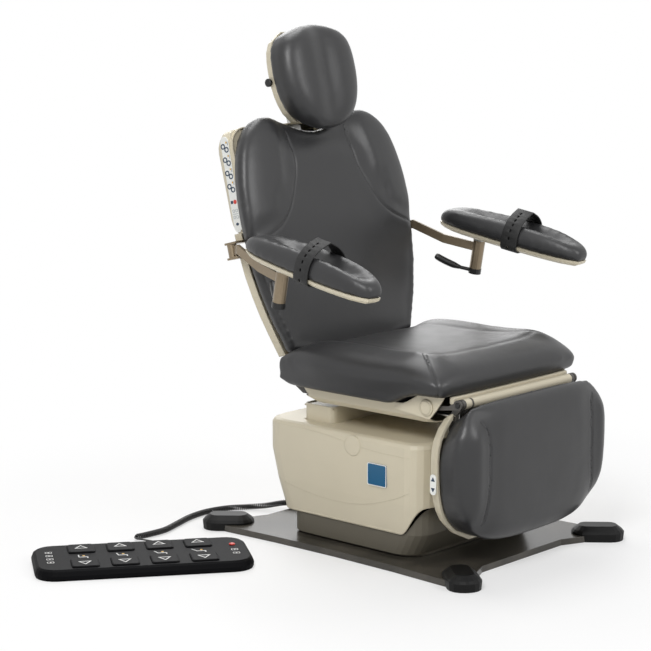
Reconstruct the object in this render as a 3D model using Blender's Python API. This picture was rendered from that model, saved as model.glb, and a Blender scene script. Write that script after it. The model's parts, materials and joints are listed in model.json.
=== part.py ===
"""Powered surgery chair with a curly-corded foot control, modelled at real size in metres.

The chair stands on z = 0 with its base plate centred on the origin. It faces -Y, and +X is the
left hand of the person who sits in it.
"""
import math

import bmesh
import bpy
from mathutils import Matrix
from mathutils import Vector

# Fits
FIT_GAP = 0.0003
RUN_GAP = 0.0006
WALL = 0.004
SHEET_METAL = 0.006

# Main level and width, which the pieces above the base and beside the back follow
SEAT_UNDERSIDE = 0.452
BACK_WIDE_X = 0.350

# Base plate and its caps
PLATE_THICKNESS = 0.018
PLATE_TIP_X = 0.352
PLATE_TIP_Y = 0.483
PLATE_WAIST_X = 0.335
PLATE_END_Y = 0.400
PLATE_END_X = 0.180
PLATE_TIP_ROUND = 0.030
CAP_LENGTH = 0.150
CAP_WIDTH = 0.096
CAP_HEIGHT = 0.042
CAP_OVERHANG = 0.010
CAP_FOOT_DRAW = 0.002
CAP_SHOULDER = 0.006
CAP_PLATEAU = 0.022
CAP_END_FLAT = 0.004
CAP_TURN = math.radians(50.0)
FLOOR_GAP = 0.0005

# Skirt and base cover
SKIRT_X = 0.268
SKIRT_FRONT = -0.252
SKIRT_REAR = 0.235
SKIRT_WALL = 0.012
SKIRT_DRAW = 0.014
SKIRT_TOE = 0.030
SEAM_HEIGHT = 0.085
SWOOP_HEIGHT = 0.166
SWOOP_START = -0.190
SWOOP_END = -0.262
COVER_X = 0.287
COVER_FOOT_X = 0.274
COVER_FRONT = -0.272
COVER_REAR = 0.312
COVER_FOOT_REAR = 0.268
COVER_TOP = 0.345
COVER_EDGE = 0.014
COVER_BULGE = 0.003
COVER_CORNER = 0.060

# Lift
LIFT_Y = 0.149
RISER_X = 0.235
RISER_DEPTH = 0.111
RISER_BOTTOM = 0.215
RISER_TOP = SEAT_UNDERSIDE - 0.060
RISER_CORNER = 0.018
SLEEVE_X = 0.120
SLEEVE_DEPTH = 0.056
SLEEVE_TOP = 0.335
SLEEVE_CORNER = 0.010
COLUMN_CORNER = 0.008
COLUMN_CLEAR = 0.002
DRIVE_WIDTH = 0.120
DRIVE_DEPTH = 0.080
DRIVE_HEIGHT = 0.100

# Tilt
TILT_Z = SEAT_UNDERSIDE - 0.020
TILT_SHAFT_RADIUS = 0.010
TILT_SHAFT_X = 0.196
TILT_EAR_X = 0.181
TILT_EYE = 0.0135

# Seat
SEAT_X = 0.315
SEAT_REAR = 0.196
SEAT_FRONT = -0.364
SEAT_BOLSTER = 0.024
BOLSTER_X = 0.185
BOLSTER_BLEND = 0.050
SEAT_DISH = 0.010
SEAT_FRONT_ROUND = 0.012
SEAT_HORN = 0.044
SEAT_HORN_GAP = 0.016
SEAT_HORN_BLEND = 0.014
SEAT_NOSE_RISE = 0.035
SEAT_EDGE = SEAT_UNDERSIDE + SEAT_NOSE_RISE + 0.041
SEAT_TOP = SEAT_EDGE + 0.042
NOSE_START = -0.165
NOSE_END = -0.250
NOSE_CROWN = 0.012
NOSE_TUCK = 0.010
SHELL_X = 0.272
SHELL_BOTTOM = SEAT_UNDERSIDE - 0.054
SHELL_REAR = 0.198
SHELL_FRONT = -0.306
SHELL_CORNER = 0.040
SHELL_DRAW = 0.055
SHELL_NECK_GAP = 0.006
CHEEK_TIP = -0.337
CHEEK_LAG = 0.018
FRAME_X = 0.262
FRAME_INSET = 0.004
FRAME_LAP = 0.001
PIVOT_CAP_Y = -0.276
PIVOT_CAP_Z = SEAT_UNDERSIDE - 0.001
PIVOT_CAP_RADIUS = 0.0225
PIVOT_CAP_HEIGHT = 0.005
CROSSBAR_HEIGHT = 0.020
CROSSBAR_DEPTH = 0.015
CROSSBAR_Y = -0.348
CROSSBAR_ROUND = 0.004

# Recline
RECLINE_Y = 0.2515
RECLINE_Z = SEAT_UNDERSIDE + 0.028
BACK_TILT = math.radians(14.7)
RECLINE_SHAFT_RADIUS = 0.009
RECLINE_EAR_X = 0.246
RECLINE_EYE = 0.018
RECLINE_EAR_DROP = 0.022
RECLINE_EAR_LENGTH = 0.130
RECLINE_EAR_NECK = 0.060
RECLINE_EAR_HALF = 0.014
RECLINE_TRAVEL = math.radians(75.0)
RECLINE_CRANK = 0.050
RECLINE_CRANK_REST = math.radians(-45.0)
RECLINE_ROD_Z = SEAT_UNDERSIDE - 0.015

# Back, measured up the back from the recline axis and forwards from it
BACK_FRONT = 0.050
BACK_EDGE = 0.046
BACK_REAR = 0.010
BACK_WING = 0.030
BACK_BOTTOM = 0.030
BACK_DIP = 0.665
BACK_SHOULDER = 0.7215
BACK_FOOT_X = 0.262
BACK_TOP_X = 0.240
BACK_TOP_ROUND = 0.012
BACK_FOOT_ROUND = 0.020
BACK_PLATE_X = 0.200
BACK_PLATE_LAP = 0.010
HINGE_ARM_REAR = 0.012
HINGE_ARM_TOP = 0.120
WING_BLEND = 0.045
SEAM_TOP_X = 0.134
SEAM_KNEE = 0.4615
SEAM_KNEE_X = 0.190
SEAM_END = 0.3635
LOBE_X = BACK_WIDE_X - 0.047
LOBE_BOTTOM = 0.3865
LOBE_TOP = 0.7025
LOBE_DEPTH = 0.066
LOBE_EDGE = 0.0225
LOBE_CORNER = 0.055
TRAY_DEPTH = 0.022
TRAY_INSET = 0.014
TRAY_LAP = 0.018
TRAY_FOOT = 0.012
PANEL_WIDTH = 0.046
PANEL_BOTTOM = 0.4095
PANEL_TOP = 0.6835
PANEL_THICKNESS = 0.0024

# Headrest
HEAD_BAR_X = 0.020
HEAD_BAR_THICKNESS = 0.012
HEAD_BAR_REAR = 0.030
HEAD_BAR_BOTTOM = 0.4615
HEAD_SLEEVE_BOTTOM = 0.4415
HEAD_SLEEVE_TOP = 0.6415
HEAD_HINGE_UP = 0.8175
HEAD_HINGE_FORWARD = 0.040
HEAD_BARREL = 0.014
HEAD_PIN_RADIUS = 0.006
HEAD_BOTTOM = 0.6875
HEAD_TOP = 0.968
HEAD_X = 0.148
HEAD_REAR = 0.056
HEAD_FRONT = 0.146
HEAD_KNOB_RADIUS = 0.012
HEAD_KNOB_LENGTH = 0.013
HEAD_ROUND = 0.016
HEAD_DISH = 0.008
HEAD_SHELL_DEPTH = 0.044
HEAD_WEB = 0.010
HEAD_PIN_INSET = 0.010
HEAD_SLOT_GAP = 0.006

# Arms, each in a frame at the top of its upright tube
ARM_X = BACK_WIDE_X + 0.080
ARM_Y = 0.100
ARM_Z = SEAT_UNDERSIDE + 0.346
ARM_LEAN = math.radians(10.0)
ARM_SPLAY = math.radians(5.0)
ARM_TUBE_RADIUS = 0.018
ARM_TUBE_LENGTH = 0.086
ARM_STEM_RADIUS = 0.013
ARM_BAR_HEIGHT = 0.026
ARM_BAR_THICKNESS = 0.009
ARM_BAR_START = 0.004
ARM_BAR_OUT = 0.024
ARM_BAR_FORWARD = 0.046
ARM_BEND_IN = 0.028
ARM_BEND_BACK = 0.116
ARM_BEND_RISE = 0.020
ARM_PIVOT_X = BACK_WIDE_X + 0.006
ARM_PIVOT_UP = 0.3595
ARM_PIVOT_FORWARD = -0.020
ARM_BARREL_RADIUS = 0.014
ARM_BARREL_LENGTH = 0.036
ARM_POST_RADIUS = 0.007
PAD_REAR = 0.130
PAD_FRONT = -0.355
PAD_X = 0.0625
PAD_HEIGHT = 0.052
PAD_RIDGE = 0.012
TRAY_BOTTOM = 0.014
TRAY_TOP = 0.030
TRAY_LIP = 0.00125
LEVER_LENGTH = 0.118
LEVER_RISE = 0.026
LEVER_HUB_HEIGHT = 0.016
LEVER_GRIP = 0.0085
LEVER_TURN = math.radians(32.0)
STRAP_Y = -0.142
STRAP_WIDTH = 0.046
STRAP_THICKNESS = 0.003
STRAP_PEAK = 0.126
STRAP_FALL = 0.018

# Legrest
LEG_Y = -0.372
LEG_Z = SEAT_UNDERSIDE + 0.016
LEG_SHAFT_RADIUS = 0.008
LEG_EYE = 0.014
LEG_ARM_DROP = 0.012
LEG_ARM_ROOT = 0.040
LEG_ARM_GAP = 0.004
LEG_EYE_X = 0.238
LEG_TRAVEL = math.radians(85.0)
LEG_CRANK = 0.050
LEG_CRANK_REST = math.radians(-47.5)
LEG_ROD_Z = SEAT_UNDERSIDE - 0.0255
LEG_X = 0.326
LEG_FOOT_X = 0.190
LEG_HEAD_X = 0.262
LEG_FOOT_ROUND = 0.014
LEG_HEAD_ROUND = 0.010
LEG_BOLSTER = 0.008
LEG_BOLSTER_X = 0.225
LEG_BOLSTER_BLEND = 0.030
LEG_BOTTOM = LEG_Z - 0.381
LEG_TOP = LEG_Z + 0.006
LEG_REAR_TOP = LEG_Z - 0.038
LEG_FRONT = -0.464
LEG_EDGE = -0.420
LEG_BACK = -0.360
LEG_SHELL_DEPTH = 0.040
LEG_NOTCH_X = 0.262
LEG_NOTCH_Z = LEG_Z - 0.096
LEG_PLATE_BOTTOM = LEG_Z - 0.271
LEG_ARM_REACH = 0.050
LEG_SHELL_RISE = 0.016
LEG_SHELL_DRAW = 0.026
LEG_KEY_LENGTH = 0.056
LEG_KEY_WIDTH = 0.020
LEG_KEY_INSET = 0.003
LEG_KEY_Z = LEG_Z - 0.206

# Drives under the seat
UNIT_WIDTH = 0.036
UNIT_HEIGHT = 0.033
UNIT_LENGTH = 0.140
ROD_RADIUS = 0.0045
ROD_X = 0.2174
ROD_END_WIDTH = 0.010
ROD_END_RIM = 0.005
CRANK_EYE = 0.011
CRANK_THICKNESS = 0.006
CRANK_PIN_RADIUS = 0.005
PIN_PROUD = 0.002
RECLINE_MOUTH = 0.076
LEG_MOUTH = 0.120
SLOT_PLAY = 0.0025

# Foot control
PEDAL_X = -0.738
PEDAL_Y = 0.342
PEDAL_TURN = math.radians(-36.9)
PEDAL_LENGTH = 0.596
PEDAL_DEPTH = 0.262
PEDAL_HEIGHT = 0.030
PEDAL_CORNER = 0.060
PEDAL_BASE = 0.004
PAD_COLUMNS = 4
PAD_PITCH = 0.1076
PAD_ROW_OFFSET = 0.070
FOOT_PAD_WIDTH = 0.074
FOOT_PAD_DEPTH = 0.080
FOOT_PAD_PROUD = 0.0045
FOOT_PAD_FLANGE = 0.004
FOOT_PAD_RIM = 0.003
FOOT_PAD_CORNER = 0.008
FOOT_PAD_BEVEL = 0.003
PEDAL_CEILING = 0.003
PEDAL_EDGE = 0.012
PEDAL_WALL = 0.016
PEDAL_ENTRY = 0.055

# Curly cord
CORD_DIAMETER = 0.0045
COIL_DIAMETER = 0.018
CURL_COUNT = 46
POINTS_PER_CURL = 8
CORD_LEAD = 0.020
TAIL_SWAY = 0.010
GLAND_X = -0.050
GLAND_Z = 0.050
GLAND_RADIUS = 0.011
GLAND_LENGTH = 0.026
BOOT_LENGTH = 0.024
BOOT_RADIUS = 0.006

ROUND_SIDES = 16
SMALL_SIDES = 12


# Small tools

def clear_scene():
    for item in list(bpy.data.objects):
        bpy.data.objects.remove(item, do_unlink=True)


def make_material(name, colour, roughness, metallic=0.0):
    material = bpy.data.materials.new(name)
    material.use_nodes = True
    shader = material.node_tree.nodes["Principled BSDF"]
    shader.inputs["Base Color"].default_value = (*colour, 1.0)
    shader.inputs["Roughness"].default_value = roughness
    shader.inputs["Metallic"].default_value = metallic
    material.diffuse_color = (*colour, 1.0)
    return material


def make_body(name, place):
    """An empty on a joint's axis, which carries the pieces that move with it."""
    empty = bpy.data.objects.new(name, None)
    empty.location = place
    bpy.context.collection.objects.link(empty)
    return empty


def finish(piece, colour, roughness, metallic, body, smooth_angle=35.0):
    """Give a piece its own material, its shading and the body that carries it."""
    piece.data.materials.clear()
    piece.data.materials.append(make_material(piece.name, colour, roughness, metallic))
    piece.data.shade_smooth()
    piece.data.set_sharp_from_angle(angle=math.radians(smooth_angle))
    if body is not None:
        piece.parent = body
        piece.matrix_parent_inverse = Matrix.Translation(-body.location)
    return piece


def from_faces(name, points, faces):
    mesh = bpy.data.meshes.new(name)
    shape = bmesh.new()
    corners = [shape.verts.new(point) for point in points]
    for face in faces:
        shape.faces.new([corners[index] for index in face])
    bmesh.ops.recalc_face_normals(shape, faces=shape.faces)
    shape.to_mesh(mesh)
    shape.free()
    piece = bpy.data.objects.new(name, mesh)
    bpy.context.collection.objects.link(piece)
    return piece


def loft(name, rings):
    """A closed solid through rings of equal point counts, with flat ends."""
    count = len(rings[0])
    points = [point for ring in rings for point in ring]
    faces = [list(range(count)), list(range(len(points) - count, len(points)))]
    for level in range(len(rings) - 1):
        base = level * count
        for step in range(count):
            after = (step + 1) % count
            faces.append((base + step, base + after, base + count + after, base + count + step))
    return from_faces(name, points, faces)


def prism(name, outline, axis, low, high):
    """Extrude a flat outline along an axis. X takes (y, z), Y takes (x, z) and Z takes (x, y)."""
    place = {
        "X": lambda a, b, level: Vector((level, a, b)),
        "Y": lambda a, b, level: Vector((a, level, b)),
        "Z": lambda a, b, level: Vector((a, b, level)),
    }[axis]
    return loft(name, [[place(a, b, level) for a, b in outline] for level in (low, high)])


def block(name, low, high):
    outline = [(low[0], low[1]), (high[0], low[1]), (high[0], high[1]), (low[0], high[1])]
    return prism(name, outline, "Z", low[2], high[2])


def turned(name, start, direction, profile, sides=ROUND_SIDES):
    """A round solid along a direction, from (radius, distance) pairs."""
    axis = Vector(direction).normalized()
    across = axis.orthogonal().normalized()
    beside = axis.cross(across)
    rings = []
    for radius, distance in profile:
        centre = Vector(start) + axis * distance
        ring = []
        for step in range(sides):
            angle = 2.0 * math.pi * step / sides
            ring.append(centre + radius * (across * math.cos(angle) + beside * math.sin(angle)))
        rings.append(ring)
    return loft(name, rings)


def rod(name, start, end, radius, sides=ROUND_SIDES):
    span = Vector(end) - Vector(start)
    return turned(name, start, span, [(radius, 0.0), (radius, span.length)], sides)


def combine(piece, tool, operation):
    """Apply a Boolean to a piece and use up the tool."""
    change = piece.modifiers.new("change", "BOOLEAN")
    change.operation = operation
    change.solver = "EXACT"
    change.object = tool
    graph = bpy.context.evaluated_depsgraph_get()
    mesh = bpy.data.meshes.new_from_object(piece.evaluated_get(graph))
    piece.modifiers.clear()
    piece.data = mesh
    mesh.name = piece.name
    bpy.data.objects.remove(tool, do_unlink=True)
    return piece


def join(piece, *tools):
    for tool in tools:
        combine(piece, tool, "UNION")
    return piece


def cut(piece, *tools):
    for tool in tools:
        combine(piece, tool, "DIFFERENCE")
    return piece


def move(piece, matrix):
    piece.data.transform(matrix)
    return piece


def rounded_rectangle(low_x, high_x, low_y, high_y, radius, steps=5):
    """Outline of a rectangle with round corners, counter-clockwise."""
    corners = [
        (high_x - radius, low_y + radius, -90.0),
        (high_x - radius, high_y - radius, 0.0),
        (low_x + radius, high_y - radius, 90.0),
        (low_x + radius, low_y + radius, 180.0),
    ]
    outline = []
    for centre_x, centre_y, start in corners:
        for step in range(steps + 1):
            angle = math.radians(start + 90.0 * step / steps)
            outline.append((centre_x + radius * math.cos(angle), centre_y + radius * math.sin(angle)))
    return outline


def at_height(outline, height):
    return [Vector((a, b, height)) for a, b in outline]


def smooth_step(value):
    value = min(max(value, 0.0), 1.0)
    return value * value * (3.0 - 2.0 * value)


def smooth_curve(knots, where):
    """Value at a place on a smooth curve through (place, value) knots."""
    index = 0
    while index < len(knots) - 2 and where > knots[index + 1][0]:
        index += 1
    (left, low), (right, high) = knots[index], knots[index + 1]
    before = knots[max(index - 1, 0)]
    after = knots[min(index + 2, len(knots) - 1)]
    span = right - left
    slope_low = span * (high - before[1]) / max(right - before[0], 1e-9)
    slope_high = span * (after[1] - low) / max(after[0] - left, 1e-9)
    share = min(max((where - left) / span, 0.0), 1.0)
    square = share * share
    cube = square * share
    return (
        (2 * cube - 3 * square + 1) * low
        + (cube - 2 * square + share) * slope_low
        + (3 * square - 2 * cube) * high
        + (cube - square) * slope_high
    )


def roll(share):
    """How far an edge has risen: 0 at the rim of a pad and 1 over its middle."""
    return math.sqrt(max(1.0 - abs(share) ** 5, 0.0))


def spread(count):
    """Places from -1 to 1 that crowd towards both ends."""
    return [math.sin(0.5 * math.pi * (2.0 * step / (count - 1) - 1.0)) for step in range(count)]


def cushion(name, columns, rows, front, rear, flat_rear=True):
    """A closed pad between a shaped front and a rear, both given over -1..1 squares."""
    across = spread(columns)
    along = spread(rows)
    places = [(u, v) for v in along for u in across]
    rim = list(range(columns))
    rim += [row * columns + columns - 1 for row in range(1, rows)]
    rim += [(rows - 1) * columns + column for column in range(columns - 2, -1, -1)]
    rim += [row * columns for row in range(rows - 2, 0, -1)]
    squares = []
    for row in range(rows - 1):
        for column in range(columns - 1):
            corner = row * columns + column
            squares.append((corner, corner + 1, corner + columns + 1, corner + columns))
    points = [front(u, v) for u, v in places]
    offset = len(points)
    if flat_rear:
        points += [rear(*places[index]) for index in rim]
        rear_rim = list(range(offset, offset + len(rim)))
        rear_faces = [rear_rim]
    else:
        points += [rear(u, v) for u, v in places]
        rear_rim = [offset + index for index in rim]
        rear_faces = [[offset + index for index in square] for square in squares]
    faces = squares + rear_faces
    for step, index in enumerate(rim):
        after = (step + 1) % len(rim)
        faces.append((rim[after], index, rear_rim[step], rear_rim[after]))
    return from_faces(name, points, faces)


# Colours
PALE_PLASTIC = (0.58, 0.53, 0.41)
DARK_PLASTIC = (0.075, 0.068, 0.056)
BLACK_RUBBER = (0.012, 0.012, 0.012)
STEEL = (0.45, 0.45, 0.45)
BRONZE_PAINT = (0.20, 0.16, 0.12)
CHARCOAL_VINYL = (0.065, 0.065, 0.068)
PANEL_FILM = (0.62, 0.62, 0.60)


# Base

def plate_outline(grow=1.0):
    quarter = [
        (PLATE_WAIST_X, 0.0),
        (PLATE_WAIST_X + 0.25 * (PLATE_TIP_X - PLATE_WAIST_X), 0.45 * PLATE_TIP_Y),
        (PLATE_TIP_X, 0.90 * PLATE_TIP_Y),
        (PLATE_TIP_X - 0.33 * PLATE_TIP_ROUND, PLATE_TIP_Y - 0.27 * PLATE_TIP_ROUND),
        (PLATE_TIP_X - PLATE_TIP_ROUND, PLATE_TIP_Y),
        (0.5 * (PLATE_TIP_X + PLATE_END_X), 0.45 * PLATE_TIP_Y + 0.55 * PLATE_END_Y),
        (PLATE_END_X, PLATE_END_Y),
    ]
    rear_right = [(-x, y) for x, y in reversed(quarter)]
    front_right = [(-x, -y) for x, y in quarter[1:]]
    front_left = [(x, -y) for x, y in reversed(quarter[1:])]
    return [(x * grow, y * grow) for x, y in quarter + rear_right + front_right + front_left]


def build_base_plate():
    plate = prism("base_plate", plate_outline(), "Z", 0.0, PLATE_THICKNESS)
    finish(plate, DARK_PLASTIC, 0.5, 0.0, None)


def build_foot_caps():
    """Faceted black caps that wrap the four tips of the plate."""
    grow = 1.0 + FIT_GAP / PLATE_END_X
    for fore_aft, end in ((-1.0, "front"), (1.0, "rear")):
        for side, hand in ((-1.0, "right"), (1.0, "left")):
            rings = []
            half_length = 0.5 * CAP_LENGTH
            half_width = 0.5 * CAP_WIDTH
            for height, inset in ((FLOOR_GAP, CAP_FOOT_DRAW), (0.55 * CAP_HEIGHT, 0.0),
                                  (0.72 * CAP_HEIGHT, CAP_SHOULDER), (CAP_HEIGHT, CAP_PLATEAU)):
                outline = rounded_rectangle(-half_length + inset, half_length - inset,
                                            -half_width + inset, half_width - inset,
                                            half_width - inset - CAP_END_FLAT, steps=4)
                rings.append(at_height(outline, height))
            cap = loft("foot_cap_" + end + "_" + hand, rings)
            reach = half_length - CAP_OVERHANG
            turn = math.atan2(fore_aft * math.sin(CAP_TURN), side * math.cos(CAP_TURN))
            tip = Vector((side * PLATE_TIP_X, fore_aft * PLATE_TIP_Y, 0.0))
            inward = Vector((side * math.cos(CAP_TURN), fore_aft * math.sin(CAP_TURN), 0.0))
            move(cap, Matrix.Translation(tip - inward * reach) @ Matrix.Rotation(turn, 4, "Z"))
            cut(cap, prism("plate_seat", plate_outline(grow), "Z",
                           -PLATE_THICKNESS, PLATE_THICKNESS + FIT_GAP))
            finish(cap, BLACK_RUBBER, 0.6, 0.0, None)


def swoop_height(place):
    """Height of the line between skirt and cover, which sweeps up at the front."""
    share = (SWOOP_START - place) / (SWOOP_START - SWOOP_END)
    return SEAM_HEIGHT + (SWOOP_HEIGHT - SEAM_HEIGHT) * smooth_step(share)


def swoop_outline(shift, floor):
    """Side outline of all that lies under the skirt's top line."""
    far = 2.0 * COVER_REAR
    steps = 8
    places = [SWOOP_START + (SWOOP_END - SWOOP_START) * step / steps for step in range(steps + 1)]
    line = [(far, SEAM_HEIGHT + shift)] + [(place, swoop_height(place) + shift) for place in places]
    line.append((-far, SWOOP_HEIGHT + shift))
    return line + [(-far, floor), (far, floor)]


def skirt_rings(inset, floor):
    rings = []
    levels = ((floor, SKIRT_DRAW, SKIRT_TOE), (0.3 * SEAM_HEIGHT, 0.0, SKIRT_TOE),
              (SEAM_HEIGHT, 0.0, 0.0), (SWOOP_HEIGHT, 0.0, 0.0))
    for height, draw, toe in levels:
        front = SKIRT_FRONT + inset + toe
        outline = rounded_rectangle(-SKIRT_X + inset + draw, SKIRT_X - inset - draw,
                                    front, SKIRT_REAR - inset, COVER_CORNER - inset)
        rings.append(at_height(outline, height))
    return rings


def build_kick_skirt():
    foot = PLATE_THICKNESS + FIT_GAP
    skirt = loft("kick_skirt", skirt_rings(0.0, foot))
    hollow = skirt_rings(SKIRT_WALL, foot - WALL)
    top = [point + Vector((0.0, 0.0, WALL)) for point in hollow[-1]]
    cut(skirt, loft("hollow", hollow + [top]))
    reach = 2.0 * COVER_X
    combine(skirt, prism("below", swoop_outline(-FIT_GAP, -WALL), "X", -reach, reach), "INTERSECT")
    finish(skirt, DARK_PLASTIC, 0.55, 0.0, None)


def cover_rings(inset, bottom, top):
    """Base cover outlines: narrow at the foot, full at the shoulder, rounded at the top edge."""
    shoulder = top - COVER_EDGE + inset
    levels = [
        (bottom, COVER_FOOT_X, COVER_FOOT_REAR),
        (0.65 * SEAM_HEIGHT + 0.35 * shoulder, 0.5 * (COVER_FOOT_X + COVER_X) + COVER_BULGE,
         0.45 * COVER_FOOT_REAR + 0.55 * COVER_REAR),
        (0.30 * SEAM_HEIGHT + 0.70 * shoulder, COVER_X, COVER_REAR),
        (shoulder, COVER_X, COVER_REAR),
        (top - 0.3 * COVER_EDGE, COVER_X - 0.35 * COVER_EDGE, COVER_REAR - 0.35 * COVER_EDGE),
        (top, COVER_X - COVER_EDGE, COVER_REAR - COVER_EDGE),
    ]
    rings = []
    for height, half, rear in levels:
        front = COVER_FRONT + (COVER_X - half)
        outline = rounded_rectangle(-half + inset, half - inset, front + inset, rear - inset,
                                    COVER_CORNER - inset)
        rings.append(at_height(outline, height))
    return rings


def build_base_cover():
    cover = loft("base_cover", cover_rings(0.0, SEAM_HEIGHT, COVER_TOP))
    cut(cover, loft("hollow", cover_rings(WALL, SEAM_HEIGHT - WALL, COVER_TOP - WALL)))
    reach = 2.0 * COVER_X
    cut(cover, prism("below", swoop_outline(0.0, -WALL), "X", -reach, reach))
    half = RISER_X + RUN_GAP
    depth = 0.5 * RISER_DEPTH + RUN_GAP
    cut(cover, block("neck", (-half, LIFT_Y - depth, COVER_TOP - 2.0 * COVER_EDGE),
                     (half, LIFT_Y + depth, COVER_TOP + WALL)))
    finish(cover, PALE_PLASTIC, 0.45, 0.0, None)


def tube_shell(name, half_x, depth, low, high, wall, corner):
    front = LIFT_Y - 0.5 * depth
    rear = LIFT_Y + 0.5 * depth
    outer = rounded_rectangle(-half_x, half_x, front, rear, corner, steps=3)
    inside = half_x - wall
    inner = rounded_rectangle(-inside, inside, front + wall, rear - wall, corner - wall, steps=3)
    shell = prism(name, outer, "Z", low, high)
    return cut(shell, prism("bore", inner, "Z", low - wall, high + wall))


def build_lift(carriage, shroud_body):
    foot = PLATE_THICKNESS + FIT_GAP
    sleeve = tube_shell("lift_sleeve", SLEEVE_X, SLEEVE_DEPTH, foot, SLEEVE_TOP, SHEET_METAL,
                        SLEEVE_CORNER)
    finish(sleeve, STEEL, 0.35, 1.0, None)
    front = LIFT_Y - 0.5 * SLEEVE_DEPTH - FIT_GAP
    drive = block("lift_drive", (-0.5 * DRIVE_WIDTH, front - DRIVE_DEPTH, foot),
                  (0.5 * DRIVE_WIDTH, front, foot + DRIVE_HEIGHT))
    finish(drive, BLACK_RUBBER, 0.5, 0.0, None)

    inset = SHEET_METAL + RUN_GAP
    half_x = SLEEVE_X - inset
    depth = SLEEVE_DEPTH - 2.0 * inset
    column = tube_shell("lift_column", half_x, depth, foot + COLUMN_CLEAR, TILT_Z, SHEET_METAL,
                        COLUMN_CORNER)
    join(column, block("web", (-half_x, LIFT_Y - TILT_EYE, TILT_Z - 2.0 * TILT_EYE),
                       (half_x, LIFT_Y + TILT_EYE, TILT_Z)))
    join(column, eye(-half_x, half_x, LIFT_Y, TILT_Z, TILT_EYE))
    cut(column, shaft_bore(half_x * 2.0, LIFT_Y, TILT_Z, TILT_SHAFT_RADIUS))
    finish(column, STEEL, 0.3, 1.0, carriage)

    shroud = tube_shell("lift_shroud", RISER_X - WALL - RUN_GAP, RISER_DEPTH - 2.0 * (WALL + RUN_GAP),
                        RISER_BOTTOM + 0.5 * WALL, RISER_TOP - 2.0 * WALL, 0.75 * WALL, RISER_CORNER - WALL)
    finish(shroud, PALE_PLASTIC, 0.45, 0.0, shroud_body)
    riser = tube_shell("riser_cover", RISER_X, RISER_DEPTH, RISER_BOTTOM, RISER_TOP, WALL, RISER_CORNER)
    lid_low = RISER_TOP - 2.0 * WALL + FIT_GAP
    lid = block("lid", (-RISER_X + 0.5 * WALL, LIFT_Y - 0.5 * RISER_DEPTH + 0.5 * WALL, lid_low),
                (RISER_X - 0.5 * WALL, LIFT_Y + 0.5 * RISER_DEPTH - 0.5 * WALL, lid_low + WALL))
    slot = half_x + FIT_GAP
    cut(lid, block("slot", (-slot, LIFT_Y - 0.5 * depth - FIT_GAP, lid_low - WALL),
                   (slot, LIFT_Y + 0.5 * depth + FIT_GAP, lid_low + 2.0 * WALL)))
    join(riser, lid)
    finish(riser, PALE_PLASTIC, 0.45, 0.0, carriage)

    shaft = rod("tilt_shaft", (-TILT_SHAFT_X, LIFT_Y, TILT_Z), (TILT_SHAFT_X, LIFT_Y, TILT_Z),
                TILT_SHAFT_RADIUS)
    finish(shaft, STEEL, 0.25, 1.0, carriage)


def shaft_bore(reach, place_y, place_z, radius):
    return rod("bore", (-reach, place_y, place_z), (reach, place_y, place_z), radius + FIT_GAP)


# Seat

def seat_underside(place):
    """Height of the cushion's underside, which rises over the cheeks at the front."""
    return SEAT_UNDERSIDE + SEAT_NOSE_RISE * smooth_step((NOSE_START - place) / (NOSE_START - NOSE_END))


def seat_place(u, v, half_share):
    share = 0.5 * (v + 1.0)
    half = smooth_curve([(0.0, 0.95), (0.2, 1.0), (0.7, 1.0), (0.93, 0.985), (1.0, 0.945)], share) * SEAT_X
    front = SEAT_FRONT + SEAT_FRONT_ROUND * abs(u) ** 4
    beside = abs(u) * half - BACK_FOOT_X - SEAT_HORN_GAP
    rear = SEAT_REAR + SEAT_HORN * smooth_step(beside / SEAT_HORN_BLEND)
    return u * half * half_share, rear + (front - rear) * share


def build_seat_cushion(seat):
    def top(u, v):
        x, y = seat_place(u, v, 1.0)
        side_roll = smooth_step((abs(x) - BOLSTER_X) / BOLSTER_BLEND) * (1.0 - smooth_step((v - 0.65) / 0.35))
        nose = NOSE_CROWN * smooth_step((v - 0.25) / 0.35)
        dish = SEAT_DISH * (1.0 - abs(u)) * (1.0 - abs(v))
        crown = SEAT_TOP - SEAT_EDGE + SEAT_BOLSTER * side_roll + nose - dish
        return Vector((x, y, SEAT_EDGE + crown * roll(u) * roll(v)))

    def bottom(u, v):
        x, y = seat_place(u, v, 0.965)
        y = y + NOSE_TUCK * max(v, 0.0)
        return Vector((x, y, seat_underside(y) + FIT_GAP))

    pad = cushion("seat_cushion", 19, 17, top, bottom, flat_rear=False)
    finish(pad, CHARCOAL_VINYL, 0.45, 0.0, seat, 80.0)


def eye(x_low, x_high, place_y, place_z, radius):
    return rod("eye", (x_low, place_y, place_z), (x_high, place_y, place_z), radius)


def frame_level():
    """Underside and top of the seat frame's plate, which carries the cushion."""
    return SEAT_UNDERSIDE - SHEET_METAL, SEAT_UNDERSIDE


def leg_arm_span():
    low = LEG_EYE_X + 2.0 * CRANK_THICKNESS + LEG_ARM_GAP
    return low, low + SHEET_METAL


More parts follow.
